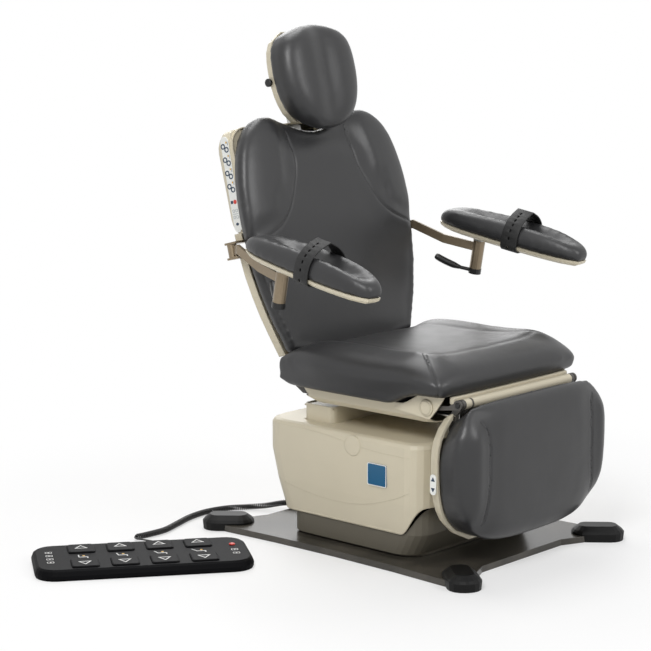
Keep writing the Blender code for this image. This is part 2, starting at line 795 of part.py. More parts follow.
def build_seat_frame(seat):
    """Steel plate under the cushion with ears for the tilt, recline and leg shafts."""
    low, high = frame_level()
    rear = SEAT_REAR - FRAME_INSET
    front = NOSE_START + FRAME_INSET
    lap = high - FRAME_LAP
    frame = block("seat_frame", (-FRAME_X, front, low), (FRAME_X, rear, high))
    arm_low, arm_high = leg_arm_span()
    for side in (-1.0, 1.0):
        ear_in, ear_out = side * TILT_EAR_X, side * (TILT_EAR_X + SHEET_METAL)
        outline = [(LIFT_Y - 3.0 * TILT_EYE, lap), (LIFT_Y - TILT_EYE, TILT_Z),
                   (LIFT_Y + TILT_EYE, TILT_Z), (LIFT_Y + 2.5 * TILT_EYE, lap)]
        join(frame, prism("tilt_ear", outline, "X", ear_in, ear_out))
        join(frame, eye(ear_in, ear_out, LIFT_Y, TILT_Z, TILT_EYE))
        ear_in, ear_out = side * RECLINE_EAR_X, side * (RECLINE_EAR_X + SHEET_METAL)
        half = RECLINE_EAR_HALF
        root = RECLINE_Y - RECLINE_EAR_LENGTH
        drop = low - RECLINE_EAR_DROP
        outline = [(root, lap), (root, drop), (RECLINE_Y - RECLINE_EAR_NECK, drop),
                   (RECLINE_Y + 0.7 * half, RECLINE_Z - half), (RECLINE_Y - half, RECLINE_Z + 0.7 * half),
                   (RECLINE_Y - 3.5 * half, lap)]
        join(frame, prism("recline_ear", outline, "X", ear_in, ear_out))
        join(frame, eye(ear_in, ear_out, RECLINE_Y, RECLINE_Z, RECLINE_EYE))
        drop = low - LEG_ARM_DROP
        root = front + LEG_ARM_ROOT
        elbow = front - 1.5 * LEG_ARM_ROOT
        half = 0.93 * LEG_EYE
        outline = [(root, lap), (root, drop), (elbow, drop), (LEG_Y + 0.3 * LEG_EYE, LEG_Z - half),
                   (LEG_Y - 0.3 * LEG_EYE, LEG_Z + half),
                   (CROSSBAR_Y + 0.5 * CROSSBAR_DEPTH, LEG_Z - 0.43 * LEG_EYE), (elbow, lap)]
        join(frame, prism("leg_arm", outline, "X", side * arm_low, side * arm_high))
        join(frame, eye(side * arm_low, side * arm_high, LEG_Y, LEG_Z, LEG_EYE))
    cut(frame, shaft_bore(SEAT_X, LIFT_Y, TILT_Z, TILT_SHAFT_RADIUS))
    cut(frame, shaft_bore(SEAT_X, RECLINE_Y, RECLINE_Z, RECLINE_SHAFT_RADIUS))
    cut(frame, shaft_bore(SEAT_X, LEG_Y, LEG_Z, LEG_SHAFT_RADIUS))
    finish(frame, STEEL, 0.4, 1.0, seat)

    recline = rod("recline_shaft", (-FRAME_X, RECLINE_Y, RECLINE_Z), (FRAME_X, RECLINE_Y, RECLINE_Z),
                  RECLINE_SHAFT_RADIUS)
    finish(recline, STEEL, 0.25, 1.0, seat)
    leg = rod("leg_shaft", (-arm_high, LEG_Y, LEG_Z), (arm_high, LEG_Y, LEG_Z), LEG_SHAFT_RADIUS)
    finish(leg, STEEL, 0.25, 1.0, seat)
    half = arm_low - FIT_GAP
    top = SEAT_UNDERSIDE + SEAT_NOSE_RISE - FIT_GAP
    bar = rounded_rectangle(CROSSBAR_Y - 0.5 * CROSSBAR_DEPTH, CROSSBAR_Y + 0.5 * CROSSBAR_DEPTH,
                            top - CROSSBAR_HEIGHT, top, CROSSBAR_ROUND, steps=2)
    finish(prism("front_crossbar", bar, "X", -half, half), PALE_PLASTIC, 0.45, 0.0, seat)


def build_seat_shell(seat):
    """Pale tray under the seat, with raised cheeks round the front pivots."""
    rim = SEAT_UNDERSIDE - FIT_GAP

    def rings(inset, lift):
        levels = [(SHELL_BOTTOM + inset, 1.0), (SHELL_BOTTOM + 0.11 * SHELL_DRAW + 0.6 * inset, 0.48),
                  (SHELL_BOTTOM + 0.40 * SHELL_DRAW, 0.15), (rim + lift, 0.0)]
        result = []
        for height, share in levels:
            draw = SHELL_DRAW * share
            half = SHELL_X - inset - 1.1 * draw
            outline = rounded_rectangle(-half, half, SHELL_FRONT + inset + 0.9 * draw,
                                        SHELL_REAR - inset - 0.95 * draw, SHELL_CORNER)
            result.append(at_height(outline, height))
        return result

    shell = loft("seat_shell", rings(0.0, 0.0))
    cut(shell, loft("hollow", rings(WALL, WALL)))
    places = [NOSE_START + (NOSE_END - NOSE_START) * step / 6 for step in range(7)]
    line = [(place, seat_underside(place + CHEEK_LAG) - FIT_GAP) for place in places]
    top = SEAT_UNDERSIDE + SEAT_NOSE_RISE - FIT_GAP
    line += [(CHEEK_TIP, top), (SHELL_FRONT - WALL, SEAT_UNDERSIDE - WALL),
             (SHELL_FRONT + 5.0 * WALL, TILT_Z - 3.0 * WALL), (NOSE_START, TILT_Z)]
    for side in (-1.0, 1.0):
        outer = SHELL_X - FIT_GAP
        join(shell, prism("cheek", line, "X", side * (outer - WALL), side * outer))
    low_level = frame_level()[0]
    ear = leg_arm_span()[1] + 2.0 * RUN_GAP
    cut(shell, block("mouth", (-ear, SHELL_FRONT - SHELL_DRAW, SHELL_BOTTOM + 0.2 * SHELL_DRAW),
                     (ear, SHELL_FRONT + 0.6 * SHELL_DRAW, SEAT_TOP)))
    half = RISER_X + SHELL_NECK_GAP
    beyond = SEAT_REAR + SHELL_DRAW
    neck_front = LIFT_Y - 0.5 * RISER_DEPTH - 2.0 * SHELL_NECK_GAP
    cut(shell, block("neck", (-half, neck_front, SHELL_BOTTOM - WALL), (half, beyond, rim)))
    half = FRAME_X + 0.5 * WALL
    floor = low_level - RECLINE_EAR_DROP - 0.5 * WALL
    cut(shell, block("rear_mouth", (-half, SEAT_REAR - 0.65 * SHELL_DRAW, floor), (half, beyond, SEAT_TOP)))
    finish(shell, PALE_PLASTIC, 0.45, 0.0, seat)

    for side, hand in ((-1.0, "right"), (1.0, "left")):
        start = (side * (SHELL_X + FIT_GAP), PIVOT_CAP_Y, PIVOT_CAP_Z)
        cap = turned("pivot_cap_" + hand, start, (side, 0.0, 0.0),
                     [(PIVOT_CAP_RADIUS, 0.0), (PIVOT_CAP_RADIUS, 0.6 * PIVOT_CAP_HEIGHT),
                      (PIVOT_CAP_RADIUS - 0.6 * PIVOT_CAP_HEIGHT, PIVOT_CAP_HEIGHT)])
        finish(cap, PALE_PLASTIC, 0.45, 0.0, seat)


def crank_pin_place(axis_y, axis_z, radius, angle):
    return axis_y + radius * math.cos(angle), axis_z + radius * math.sin(angle)


def build_drive(names, side, mouth, forward, rod_z, pin, sweep, travel, seat, rod_body):
    """A drive unit under the seat frame, and the rod that pushes a crank pin in its slotted end."""
    top = frame_level()[0] - FIT_GAP
    tail = mouth - forward * UNIT_LENGTH
    mid = side * ROD_X
    unit = block(names[0], (mid - 0.5 * UNIT_WIDTH, min(mouth, tail), top - UNIT_HEIGHT),
                 (mid + 0.5 * UNIT_WIDTH, max(mouth, tail), top))
    cut(unit, rod("bore", (mid, mouth + forward * WALL, rod_z), (mid, tail + forward * WALL, rod_z),
                  ROD_RADIUS + FIT_GAP, SMALL_SIDES))
    finish(unit, BLACK_RUBBER, 0.5, 0.0, seat)

    inner = tail + forward * (2.0 * WALL + max(-travel * forward, 0.0))
    push = rod(names[1], (mid, inner, rod_z), (mid, pin[0], rod_z), ROD_RADIUS, SMALL_SIDES)
    play = CRANK_PIN_RADIUS + SLOT_PLAY
    lowest, highest = sweep
    half = play + ROD_END_RIM
    plate = rounded_rectangle(pin[0] - half, pin[0] + half, lowest - half, highest + half, ROD_END_RIM,
                              steps=2)
    join(push, prism("end", plate, "X", mid - 0.5 * ROD_END_WIDTH, mid + 0.5 * ROD_END_WIDTH))
    slot = rounded_rectangle(pin[0] - play, pin[0] + play, lowest - play, highest + play, 0.98 * play,
                             steps=4)
    cut(push, prism("slot", slot, "X", mid - ROD_END_WIDTH, mid + ROD_END_WIDTH))
    finish(push, STEEL, 0.3, 1.0, rod_body)


def crank_sweep(axis_y, axis_z, radius, start, travel):
    """Lowest and highest place of a crank pin, and how far it moves fore and aft."""
    steps = 24
    angles = [start - travel * step / steps for step in range(steps + 1)]
    path = [crank_pin_place(axis_y, axis_z, radius, angle) for angle in angles]
    heights = [height for _, height in path]
    return (min(heights), max(heights)), path[-1][0] - path[0][0]


def crank_with_pin(side, axis_y, axis_z, pin, eye_radius):
    """A crank plate from an eye on the shaft to a pin that stands out sideways."""
    face = side * (ROD_X - 0.5 * ROD_END_WIDTH - FIT_GAP)
    back = face - side * CRANK_THICKNESS
    span = Vector((pin[0] - axis_y, pin[1] - axis_z))
    across = Vector((-span.y, span.x)).normalized() * CRANK_EYE
    outline = [(axis_y + across.x, axis_z + across.y), (axis_y - across.x, axis_z - across.y),
               (pin[0] - across.x, pin[1] - across.y), (pin[0] + across.x, pin[1] + across.y)]
    crank = prism("crank", outline, "X", back, face)
    join(crank, eye(back, face, axis_y, axis_z, eye_radius))
    join(crank, eye(back, face, pin[0], pin[1], CRANK_EYE))
    end = side * (ROD_X + 0.5 * ROD_END_WIDTH + PIN_PROUD)
    stud = rod("pin", (back, pin[0], pin[1]), (end, pin[0], pin[1]), CRANK_PIN_RADIUS, SMALL_SIDES)
    return join(crank, stud)


# Back: its pieces are built standing upright round the recline axis, then leaned back

def back_matrix():
    return Matrix.Translation((0.0, RECLINE_Y, RECLINE_Z)) @ Matrix.Rotation(-BACK_TILT, 4, "X")


def back_half_width(share):
    spread_low = BACK_WIDE_X - BACK_FOOT_X
    spread_high = BACK_WIDE_X - BACK_TOP_X
    knots = [(0.0, BACK_FOOT_X), (0.06, BACK_FOOT_X + 0.15 * spread_low),
             (0.15, BACK_FOOT_X + 0.45 * spread_low), (0.36, BACK_WIDE_X - 0.10 * spread_high),
             (0.55, BACK_WIDE_X), (0.72, BACK_WIDE_X - 0.05 * spread_high),
             (0.87, BACK_TOP_X + 0.72 * spread_high), (0.95, BACK_TOP_X + 0.42 * spread_high),
             (1.0, BACK_TOP_X)]
    return smooth_curve(knots, share)


def back_place(u, v):
    share = 0.5 * (v + 1.0)
    shoulder = (BACK_SHOULDER - BACK_DIP) * smooth_step(abs(u) / 0.85)
    top = BACK_DIP + shoulder - BACK_TOP_ROUND * abs(u) ** 8
    bottom = BACK_BOTTOM + BACK_FOOT_ROUND * abs(u) ** 4
    return u * back_half_width(share), bottom + (top - bottom) * share


def wing_seam(height):
    """Half width of the middle panel at a height up the back."""
    rise = SEAM_KNEE - SEAM_END
    knots = [(SEAM_END, BACK_WIDE_X), (SEAM_END + 0.36 * rise, 0.70 * BACK_WIDE_X), (SEAM_KNEE, SEAM_KNEE_X),
             (SEAM_KNEE + rise, 1.09 * SEAM_TOP_X), (BACK_SHOULDER, SEAM_TOP_X)]
    return smooth_curve(knots, height)


def build_back_cushion(back):
    def front(u, v):
        x, z = back_place(u, v)
        wing = smooth_step((abs(x) - wing_seam(z)) / WING_BLEND) if z > SEAM_END else 0.0
        rise = roll(u) * roll(v)
        depth = BACK_EDGE + (BACK_FRONT - BACK_EDGE + BACK_WING * wing) * rise
        return Vector((x, -depth, z))

    def rear(u, v):
        x, z = back_place(u, 0.985 * v)
        return Vector((0.955 * x, -BACK_REAR, z))

    pad = move(cushion("back_cushion", 21, 19, front, rear), back_matrix())
    finish(pad, CHARCOAL_VINYL, 0.45, 0.0, back, 80.0)


def arm_pivot(side):
    return Vector((side * ARM_PIVOT_X, -ARM_PIVOT_FORWARD, ARM_PIVOT_UP))


def build_back_frame(back):
    """Steel plate behind the back cushion, with hinge arms, head sleeve, arm lugs and crank."""
    front = -BACK_REAR + FIT_GAP
    rear = front + SHEET_METAL
    half = BACK_PLATE_X
    frame = block("back_frame", (-half, front, BACK_BOTTOM + FRAME_INSET),
                  (half, rear, HEAD_SLEEVE_TOP - WALL))
    eye_x = RECLINE_EAR_X - FIT_GAP - SHEET_METAL
    for side in (-1.0, 1.0):
        inner, outer = side * eye_x, side * (eye_x + SHEET_METAL)
        outline = [(front, 0.0), (HINGE_ARM_REAR, 0.0), (rear, BACK_BOTTOM + FRAME_INSET),
                   (rear, HINGE_ARM_TOP), (front, HINGE_ARM_TOP)]
        join(frame, prism("hinge_arm", outline, "X", inner, outer))
        join(frame, eye(inner, outer, 0.0, 0.0, RECLINE_EYE))
        root = side * (BACK_PLATE_X - BACK_PLATE_LAP)
        join(frame, block("tie", (min(root, outer), front, 0.5 * HINGE_ARM_TOP),
                          (max(root, outer), rear, HINGE_ARM_TOP)))
        pivot = arm_pivot(side)
        reach = pivot.x + side * ARM_BARREL_RADIUS
        for level in (-1.0, 1.0):
            near = pivot.z + level * (0.5 * ARM_BARREL_LENGTH + FIT_GAP)
            far = near + level * SHEET_METAL
            lug = block("lug", (min(root, reach), front, min(near, far)),
                        (max(root, reach), pivot.y + ARM_BARREL_RADIUS, max(near, far)))
            join(frame, lug)
        post = 0.5 * ARM_BARREL_LENGTH + 0.5 * SHEET_METAL
        rise = Vector((0.0, 0.0, post))
        join(frame, rod("post", pivot - rise, pivot + rise, ARM_POST_RADIUS))
    half = HEAD_BAR_X + FIT_GAP + WALL
    bar_front = HEAD_BAR_REAR - 0.5 * HEAD_BAR_THICKNESS
    bar_rear = HEAD_BAR_REAR + 0.5 * HEAD_BAR_THICKNESS
    join(frame, block("sleeve", (-half, front + FRAME_LAP, HEAD_SLEEVE_BOTTOM),
                      (half, bar_rear + FIT_GAP + WALL, HEAD_SLEEVE_TOP)))
    cut(frame, block("channel", (-HEAD_BAR_X - FIT_GAP, bar_front - FIT_GAP, HEAD_SLEEVE_BOTTOM - WALL),
                     (HEAD_BAR_X + FIT_GAP, bar_rear + FIT_GAP, HEAD_SLEEVE_TOP + WALL)))
    cut(frame, shaft_bore(SEAT_X, 0.0, 0.0, RECLINE_SHAFT_RADIUS))
    move(frame, back_matrix())
    pin = crank_pin_place(RECLINE_Y, RECLINE_Z, RECLINE_CRANK, RECLINE_CRANK_REST)
    crank = crank_with_pin(1.0, RECLINE_Y, RECLINE_Z, pin, RECLINE_EYE)
    tie = block("tie", (ROD_X - 0.5 * ROD_END_WIDTH - FIT_GAP - CRANK_THICKNESS, front, 0.0),
                (eye_x + 0.5 * SHEET_METAL, rear, 0.8 * HINGE_ARM_TOP))
    join(crank, move(tie, back_matrix()))
    cut(crank, shaft_bore(SEAT_X, RECLINE_Y, RECLINE_Z, RECLINE_SHAFT_RADIUS))
    join(frame, crank)
    finish(frame, STEEL, 0.4, 1.0, back)


def build_back_shell(back):
    """Pale shell behind the back: a shallow tray below and a deep housing above."""
    front = -BACK_REAR + 2.0 * FIT_GAP + SHEET_METAL
    steps = 6

    def tray_outline(inset):
        places = [step / steps for step in range(steps + 1)]
        low = BACK_BOTTOM + TRAY_FOOT + inset
        high = LOBE_BOTTOM + TRAY_LAP - inset
        tall = BACK_SHOULDER - BACK_BOTTOM
        right = []
        for place in places:
            level = low + (high - low) * place
            right.append((back_half_width((level - BACK_BOTTOM) / tall) - TRAY_INSET - inset, level))
        return right + [(-x, z) for x, z in reversed(right)]

    shell = prism("back_shell", tray_outline(0.0), "Y", front, TRAY_DEPTH)
    lobe = []
    hollow = []
    shoulder = LOBE_DEPTH - 0.8 * LOBE_EDGE
    levels = ((front, 0.0), (shoulder, 0.0), (LOBE_DEPTH - 0.2 * LOBE_EDGE, 0.3 * LOBE_EDGE),
              (LOBE_DEPTH, LOBE_EDGE))
    for depth, draw in levels:
        for rings, inset in ((lobe, 0.0), (hollow, WALL)):
            half = LOBE_X - draw - inset
            outline = rounded_rectangle(-half, half, LOBE_BOTTOM + draw + inset, LOBE_TOP - draw - inset,
                                        LOBE_CORNER - inset)
            rings.append([Vector((x, depth - inset, z)) for x, z in outline])
    join(shell, loft("lobe", lobe))
    cut(shell, prism("hollow", tray_outline(WALL), "Y", front - 2.0 * WALL, TRAY_DEPTH - WALL))
    cut(shell, loft("hollow", hollow))
    pivot = arm_pivot(1.0)
    tall = 0.5 * ARM_BARREL_LENGTH + SHEET_METAL + 2.0 * FIT_GAP
    for side in (-1.0, 1.0):
        inner, outer = side * (BACK_PLATE_X - 2.0 * BACK_PLATE_LAP), side * BACK_WIDE_X
        cut(shell, block("lug_slot", (min(inner, outer), front - WALL, pivot.z - tall),
                         (max(inner, outer), LOBE_DEPTH, pivot.z + tall)))
    half = HEAD_BAR_X + FIT_GAP + RUN_GAP
    reach = 0.5 * HEAD_BAR_THICKNESS + RUN_GAP
    cut(shell, block("head_slot", (-half, HEAD_BAR_REAR - reach, LOBE_TOP - 4.0 * WALL),
                     (half, HEAD_BAR_REAR + reach, LOBE_TOP + WALL)))
    move(shell, back_matrix())
    finish(shell, PALE_PLASTIC, 0.45, 0.0, back)

    mid = 0.5 * (front + shoulder)
    half = 0.5 * PANEL_WIDTH
    outline = rounded_rectangle(mid - half, mid + half, PANEL_BOTTOM, PANEL_TOP, 0.87 * half, steps=3)
    face = -LOBE_X - FIT_GAP
    panel = move(prism("side_panel", outline, "X", face - PANEL_THICKNESS, face), back_matrix())
    finish(panel, PANEL_FILM, 0.35, 0.0, back)


# Headrest, built in the same upright frame

def head_half_width(share):
    knots = [(0.0, 0.60), (0.10, 0.80), (0.30, 0.955), (0.58, 1.0), (0.82, 0.93), (0.94, 0.76), (1.0, 0.54)]
    return smooth_curve(knots, share) * HEAD_X


def head_place(u, v):
    share = 0.5 * (v + 1.0)
    bottom = HEAD_BOTTOM + HEAD_ROUND * u * u
    top = HEAD_TOP - HEAD_ROUND * u * u
    return u * head_half_width(share), bottom + (top - bottom) * share


def head_outline(grow, steps=10):
    tall = HEAD_TOP - HEAD_BOTTOM
    shares = [step / steps for step in range(steps + 1)]
    right = [(head_half_width(share) * grow, HEAD_BOTTOM + tall * share) for share in shares]
    middle = 0.5 * (HEAD_BOTTOM + HEAD_TOP)
    ring = right + [(-x, z) for x, z in reversed(right)]
    return [(x, middle + (z - middle) * grow) for x, z in ring]


def build_headrest(bar_body, head, knob_body):
    bar_front = HEAD_BAR_REAR - 0.5 * HEAD_BAR_THICKNESS
    bar_rear = HEAD_BAR_REAR + 0.5 * HEAD_BAR_THICKNESS
    bar = block("head_bar", (-HEAD_BAR_X, bar_front, HEAD_BAR_BOTTOM),
                (HEAD_BAR_X, bar_rear, HEAD_HINGE_UP + HEAD_WEB))
    join(bar, block("web", (-HEAD_BAR_X, -HEAD_HINGE_FORWARD, HEAD_HINGE_UP - HEAD_WEB),
                    (HEAD_BAR_X, bar_rear - FRAME_LAP, HEAD_HINGE_UP + 0.95 * HEAD_WEB)))
    join(bar, eye(-HEAD_BAR_X, HEAD_BAR_X, -HEAD_HINGE_FORWARD, HEAD_HINGE_UP, HEAD_BARREL))
    cut(bar, shaft_bore(HEAD_X, -HEAD_HINGE_FORWARD, HEAD_HINGE_UP, HEAD_PIN_RADIUS))
    finish(move(bar, back_matrix()), STEEL, 0.3, 1.0, bar_body)

    front = -HEAD_REAR + FIT_GAP
    levels = [(front, 0.94), (front + 0.5 * HEAD_SHELL_DEPTH, 0.91),
              (front + 0.82 * HEAD_SHELL_DEPTH, 0.81), (front + HEAD_SHELL_DEPTH, 0.61)]
    outer = []
    inner = []
    for depth, grow in levels:
        outer.append([Vector((x, depth, z)) for x, z in head_outline(grow)])
        inner.append([Vector((x, depth - WALL, z)) for x, z in head_outline(grow - WALL / HEAD_X)])
    shell = loft("headrest_shell", outer)
    cut(shell, loft("hollow", inner))
    slot = HEAD_BAR_X + HEAD_SLOT_GAP
    reach = 1.5 * HEAD_SHELL_DEPTH
    cut(shell, block("slot", (-slot, front + WALL, HEAD_HINGE_UP - reach),
                     (slot, front + reach, HEAD_HINGE_UP + reach)))
    pin_end = HEAD_X - HEAD_PIN_INSET
    join(shell, rod("pin", (-pin_end, -HEAD_HINGE_FORWARD, HEAD_HINGE_UP),
                    (head_half_width(0.5) - WALL, -HEAD_HINGE_FORWARD, HEAD_HINGE_UP), HEAD_PIN_RADIUS))
    finish(move(shell, back_matrix()), PALE_PLASTIC, 0.45, 0.0, head)

    def face(u, v):
        x, z = head_place(u, v)
        edge = HEAD_REAR + 0.42 * (HEAD_FRONT - HEAD_REAR)
        hollow = HEAD_DISH * (1.0 - smooth_step(abs(u) / 0.5)) * (1.0 - v * v)
        return Vector((x, -(edge + (HEAD_FRONT - edge) * roll(u) * roll(v) - hollow), z))

    def rear(u, v):
        x, z = head_place(u, 0.97 * v)
        return Vector((0.97 * x, -HEAD_REAR, z))

    pad = move(cushion("headrest_cushion", 15, 13, face, rear), back_matrix())
    finish(pad, CHARCOAL_VINYL, 0.45, 0.0, head, 80.0)

    start = (-pin_end - FIT_GAP, -HEAD_HINGE_FORWARD, HEAD_HINGE_UP)
    radius = HEAD_KNOB_RADIUS
    knob = turned("head_knob", start, (-1.0, 0.0, 0.0),
                  [(0.6 * radius, 0.0), (0.6 * radius, 0.25 * HEAD_KNOB_LENGTH),
                   (radius, 0.35 * HEAD_KNOB_LENGTH), (radius, 0.9 * HEAD_KNOB_LENGTH),
                   (0.85 * radius, HEAD_KNOB_LENGTH)], SMALL_SIDES)
    finish(move(knob, back_matrix()), BLACK_RUBBER, 0.5, 0.0, knob_body)


# Arms

def arm_matrix(side):
    """Frame at the top of an arm's tube: +Z up the tube, -Y along the forearm."""
    return (Matrix.Translation((side * ARM_X, ARM_Y, ARM_Z)) @ Matrix.Rotation(ARM_LEAN, 4, "X")
            @ Matrix.Rotation(side * ARM_SPLAY, 4, "Z"))


def bar_section(place, along):
    """Upright rectangle across the arm bar at one point of its path."""
    across = Vector((along.y, -along.x, 0.0)).normalized() * (0.5 * ARM_BAR_THICKNESS)
    up = Vector((0.0, 0.0, 0.5 * ARM_BAR_HEIGHT))
    return [place + across + up, place - across + up, place - across - up, place + across - up]


def build_arm(side, hand, arm_body, pad_body, lever_body):
    matrix = arm_matrix(side)
    pivot = back_matrix() @ arm_pivot(side)
    tube_top = Vector((0.0, 0.0, 0.0))
    tube_foot = Vector((0.0, 0.0, -ARM_TUBE_LENGTH))
    tube_mid = matrix @ tube_top.lerp(tube_foot, 0.25)
    path = [
        pivot - Vector((0.0, ARM_BAR_START, 0.0)),
        back_matrix() @ (arm_pivot(side) + Vector((side * ARM_BAR_OUT, -ARM_BAR_FORWARD, 0.0))),
        Vector((side * (ARM_X - ARM_BEND_IN), ARM_Y + ARM_BEND_BACK, tube_mid.z + ARM_BEND_RISE)),
        tube_mid,
    ]
    sections = []
    for index, place in enumerate(path):
        along = path[min(index + 1, len(path) - 1)] - path[max(index - 1, 0)]
        sections.append(bar_section(place, along))
    bar = loft("arm_bar_" + hand, sections)
    up = back_matrix().to_3x3() @ Vector((0.0, 0.0, 1.0))
    reach = up * (0.5 * ARM_BARREL_LENGTH)
    join(bar, rod("barrel", pivot - reach, pivot + reach, ARM_BARREL_RADIUS))
    join(bar, move(rod("tube", tube_foot, tube_top, ARM_TUBE_RADIUS), matrix))
    cut(bar, rod("bore", pivot - 2.0 * reach, pivot + 2.0 * reach, ARM_POST_RADIUS + FIT_GAP))
    bore = rod("bore", 2.0 * tube_foot, -tube_foot, ARM_STEM_RADIUS + FIT_GAP)
    cut(bar, move(bore, matrix))
    finish(bar, BRONZE_PAINT, 0.35, 0.6, arm_body)

    levels = ((TRAY_BOTTOM, 0.80), (0.55 * TRAY_BOTTOM + 0.45 * TRAY_TOP, 0.97), (TRAY_TOP, tray_rim()))
    tray = loft("pad_tray_" + hand, [at_height(pad_outline(grow), height) for height, grow in levels])
    inside = ARM_TUBE_LENGTH - WALL
    stem = turned("stem", tube_foot + Vector((0.0, 0.0, WALL)), (0.0, 0.0, 1.0),
                  [(ARM_STEM_RADIUS, 0.0), (ARM_STEM_RADIUS, inside + FIT_GAP),
                   (ARM_TUBE_RADIUS + 0.25 * WALL, inside + 2.0 * FIT_GAP),
                   (ARM_TUBE_RADIUS + WALL, ARM_TUBE_LENGTH + TRAY_BOTTOM - 0.5 * WALL)])
    join(tray, stem)
    finish(move(tray, matrix), PALE_PLASTIC, 0.45, 0.0, pad_body)

    def top(u, v):
        x, y = pad_place(u, v)
        ridge = PAD_RIDGE * (smooth_step(abs(u) / 0.55) - 1.0) * (1.0 - abs(v) ** 4)
        edge = TRAY_TOP + 0.35 * PAD_HEIGHT
        return Vector((x, y, edge + (0.65 * PAD_HEIGHT + ridge) * roll(u) * roll(v)))

    def bottom(u, v):
        x, y = pad_place(u, 0.99 * v)
        return Vector((0.97 * x, y, TRAY_TOP + FIT_GAP))

    pad = move(cushion("arm_pad_" + hand, 11, 17, top, bottom), matrix)
    finish(pad, CHARCOAL_VINYL, 0.45, 0.0, pad_body, 80.0)
    build_strap(hand, matrix, pad_body)

    hub_top = -ARM_TUBE_LENGTH - FIT_GAP
    hub_foot = hub_top - LEVER_HUB_HEIGHT
    hub = rod("arm_lever_" + hand, (0.0, 0.0, hub_foot), (0.0, 0.0, hub_top), ARM_TUBE_RADIUS + 0.25 * WALL)
    rings = []
    for share, grow in ((0.0, 0.70), (0.35, 0.65), (0.55, 0.88), (0.92, 1.0), (1.0, 0.60)):
        centre = Vector((0.0, LEVER_LENGTH * share, 0.5 * (hub_top + hub_foot) + LEVER_RISE * share * share))
        size = LEVER_GRIP * grow
        ring = []
        for step in range(SMALL_SIDES):
            angle = 2.0 * math.pi * step / SMALL_SIDES
            ring.append(centre + Vector((size * math.cos(angle), 0.0, size * math.sin(angle))))
        rings.append(ring)
    join(hub, move(loft("handle", rings), Matrix.Rotation(side * LEVER_TURN, 4, "Z")))
    finish(move(hub, matrix), BLACK_RUBBER, 0.5, 0.0, lever_body)


def pad_half_width(share):
    knots = [(0.0, 0.42), (0.05, 0.66), (0.16, 0.90), (0.40, 1.0), (0.70, 0.97), (0.88, 0.78),
             (0.96, 0.56), (1.0, 0.34)]
    return smooth_curve(knots, share) * PAD_X


def tray_rim():
    """How much wider than its pad the tray is at its rim."""
    return 1.0 + TRAY_LIP / PAD_X


def pad_place(u, v):
    share = 0.5 * (v + 1.0)
    return u * pad_half_width(share), PAD_REAR + (PAD_FRONT - PAD_REAR) * share


def pad_outline(grow, steps=12):
    span = PAD_FRONT - PAD_REAR
    shares = [step / steps for step in range(steps + 1)]
    right = [(pad_half_width(share) * grow, PAD_REAR + span * share) for share in shares]
    middle = 0.5 * (PAD_REAR + PAD_FRONT)
    long_grow = 1.0 + (grow - 1.0) * PAD_X / abs(0.5 * span)
    ring = right + [(-x, y) for x, y in reversed(right)]
    return [(x, middle + (y - middle) * long_grow) for x, y in ring]


def build_strap(hand, matrix, pad_body):
    """Rubber strap round the tray and over the forearm, with a raised peak."""
    inside = max(x for x, _ in pad_outline(tray_rim())) + FIT_GAP
    low = TRAY_BOTTOM - FIT_GAP
    over = TRAY_TOP + PAD_HEIGHT
    right = [(0.0, low), (0.90 * inside, low), (inside, 0.5 * (low + TRAY_TOP)),
             (inside, over - 0.6 * PAD_HEIGHT), (0.86 * inside, over + 2.0 * STRAP_THICKNESS),
             (0.45 * inside, STRAP_PEAK - STRAP_FALL), (0.0, STRAP_PEAK)]
    line = right + [(-x, z) for x, z in reversed(right[1:-1])]
    outer = []
    count = len(line)
    for index, (x, z) in enumerate(line):
        before = Vector(line[index - 1])
        after = Vector(line[(index + 1) % count])
        along = (after - before).normalized()
        outer.append((x + along.y * STRAP_THICKNESS, z - along.x * STRAP_THICKNESS))
    front = STRAP_Y - 0.5 * STRAP_WIDTH
    rear = STRAP_Y + 0.5 * STRAP_WIDTH
    strap = prism("arm_strap_" + hand, outer, "Y", front, rear)
    cut(strap, prism("forearm", line, "Y", front - WALL, rear + WALL))
    finish(move(strap, matrix), BLACK_RUBBER, 0.6, 0.0, pad_body)


# Legrest

def leg_half_width(share):
    knots = [(0.0, LEG_FOOT_X), (0.05, 0.72 * LEG_X), (0.14, 0.86 * LEG_X), (0.30, 0.96 * LEG_X),
             (0.52, LEG_X), (0.78, 0.99 * LEG_X), (0.92, 0.5 * (LEG_X + LEG_HEAD_X)), (1.0, LEG_HEAD_X)]
    return smooth_curve(knots, share)


def leg_place(u, v, top):
    share = 0.5 * (v + 1.0)
    bottom = LEG_BOTTOM + LEG_FOOT_ROUND * abs(u) ** 3
    head = top - LEG_HEAD_ROUND * abs(u) ** 4
    return u * leg_half_width(share), bottom + (head - bottom) * share


def leg_outline(inset, top, steps=12):
    low = LEG_BOTTOM + inset
    high = top - inset
    shares = [step / steps for step in range(steps + 1)]
    right = [(leg_half_width(share) - inset, low + (high - low) * share) for share in shares]
    return right + [(-x, z) for x, z in reversed(right)]


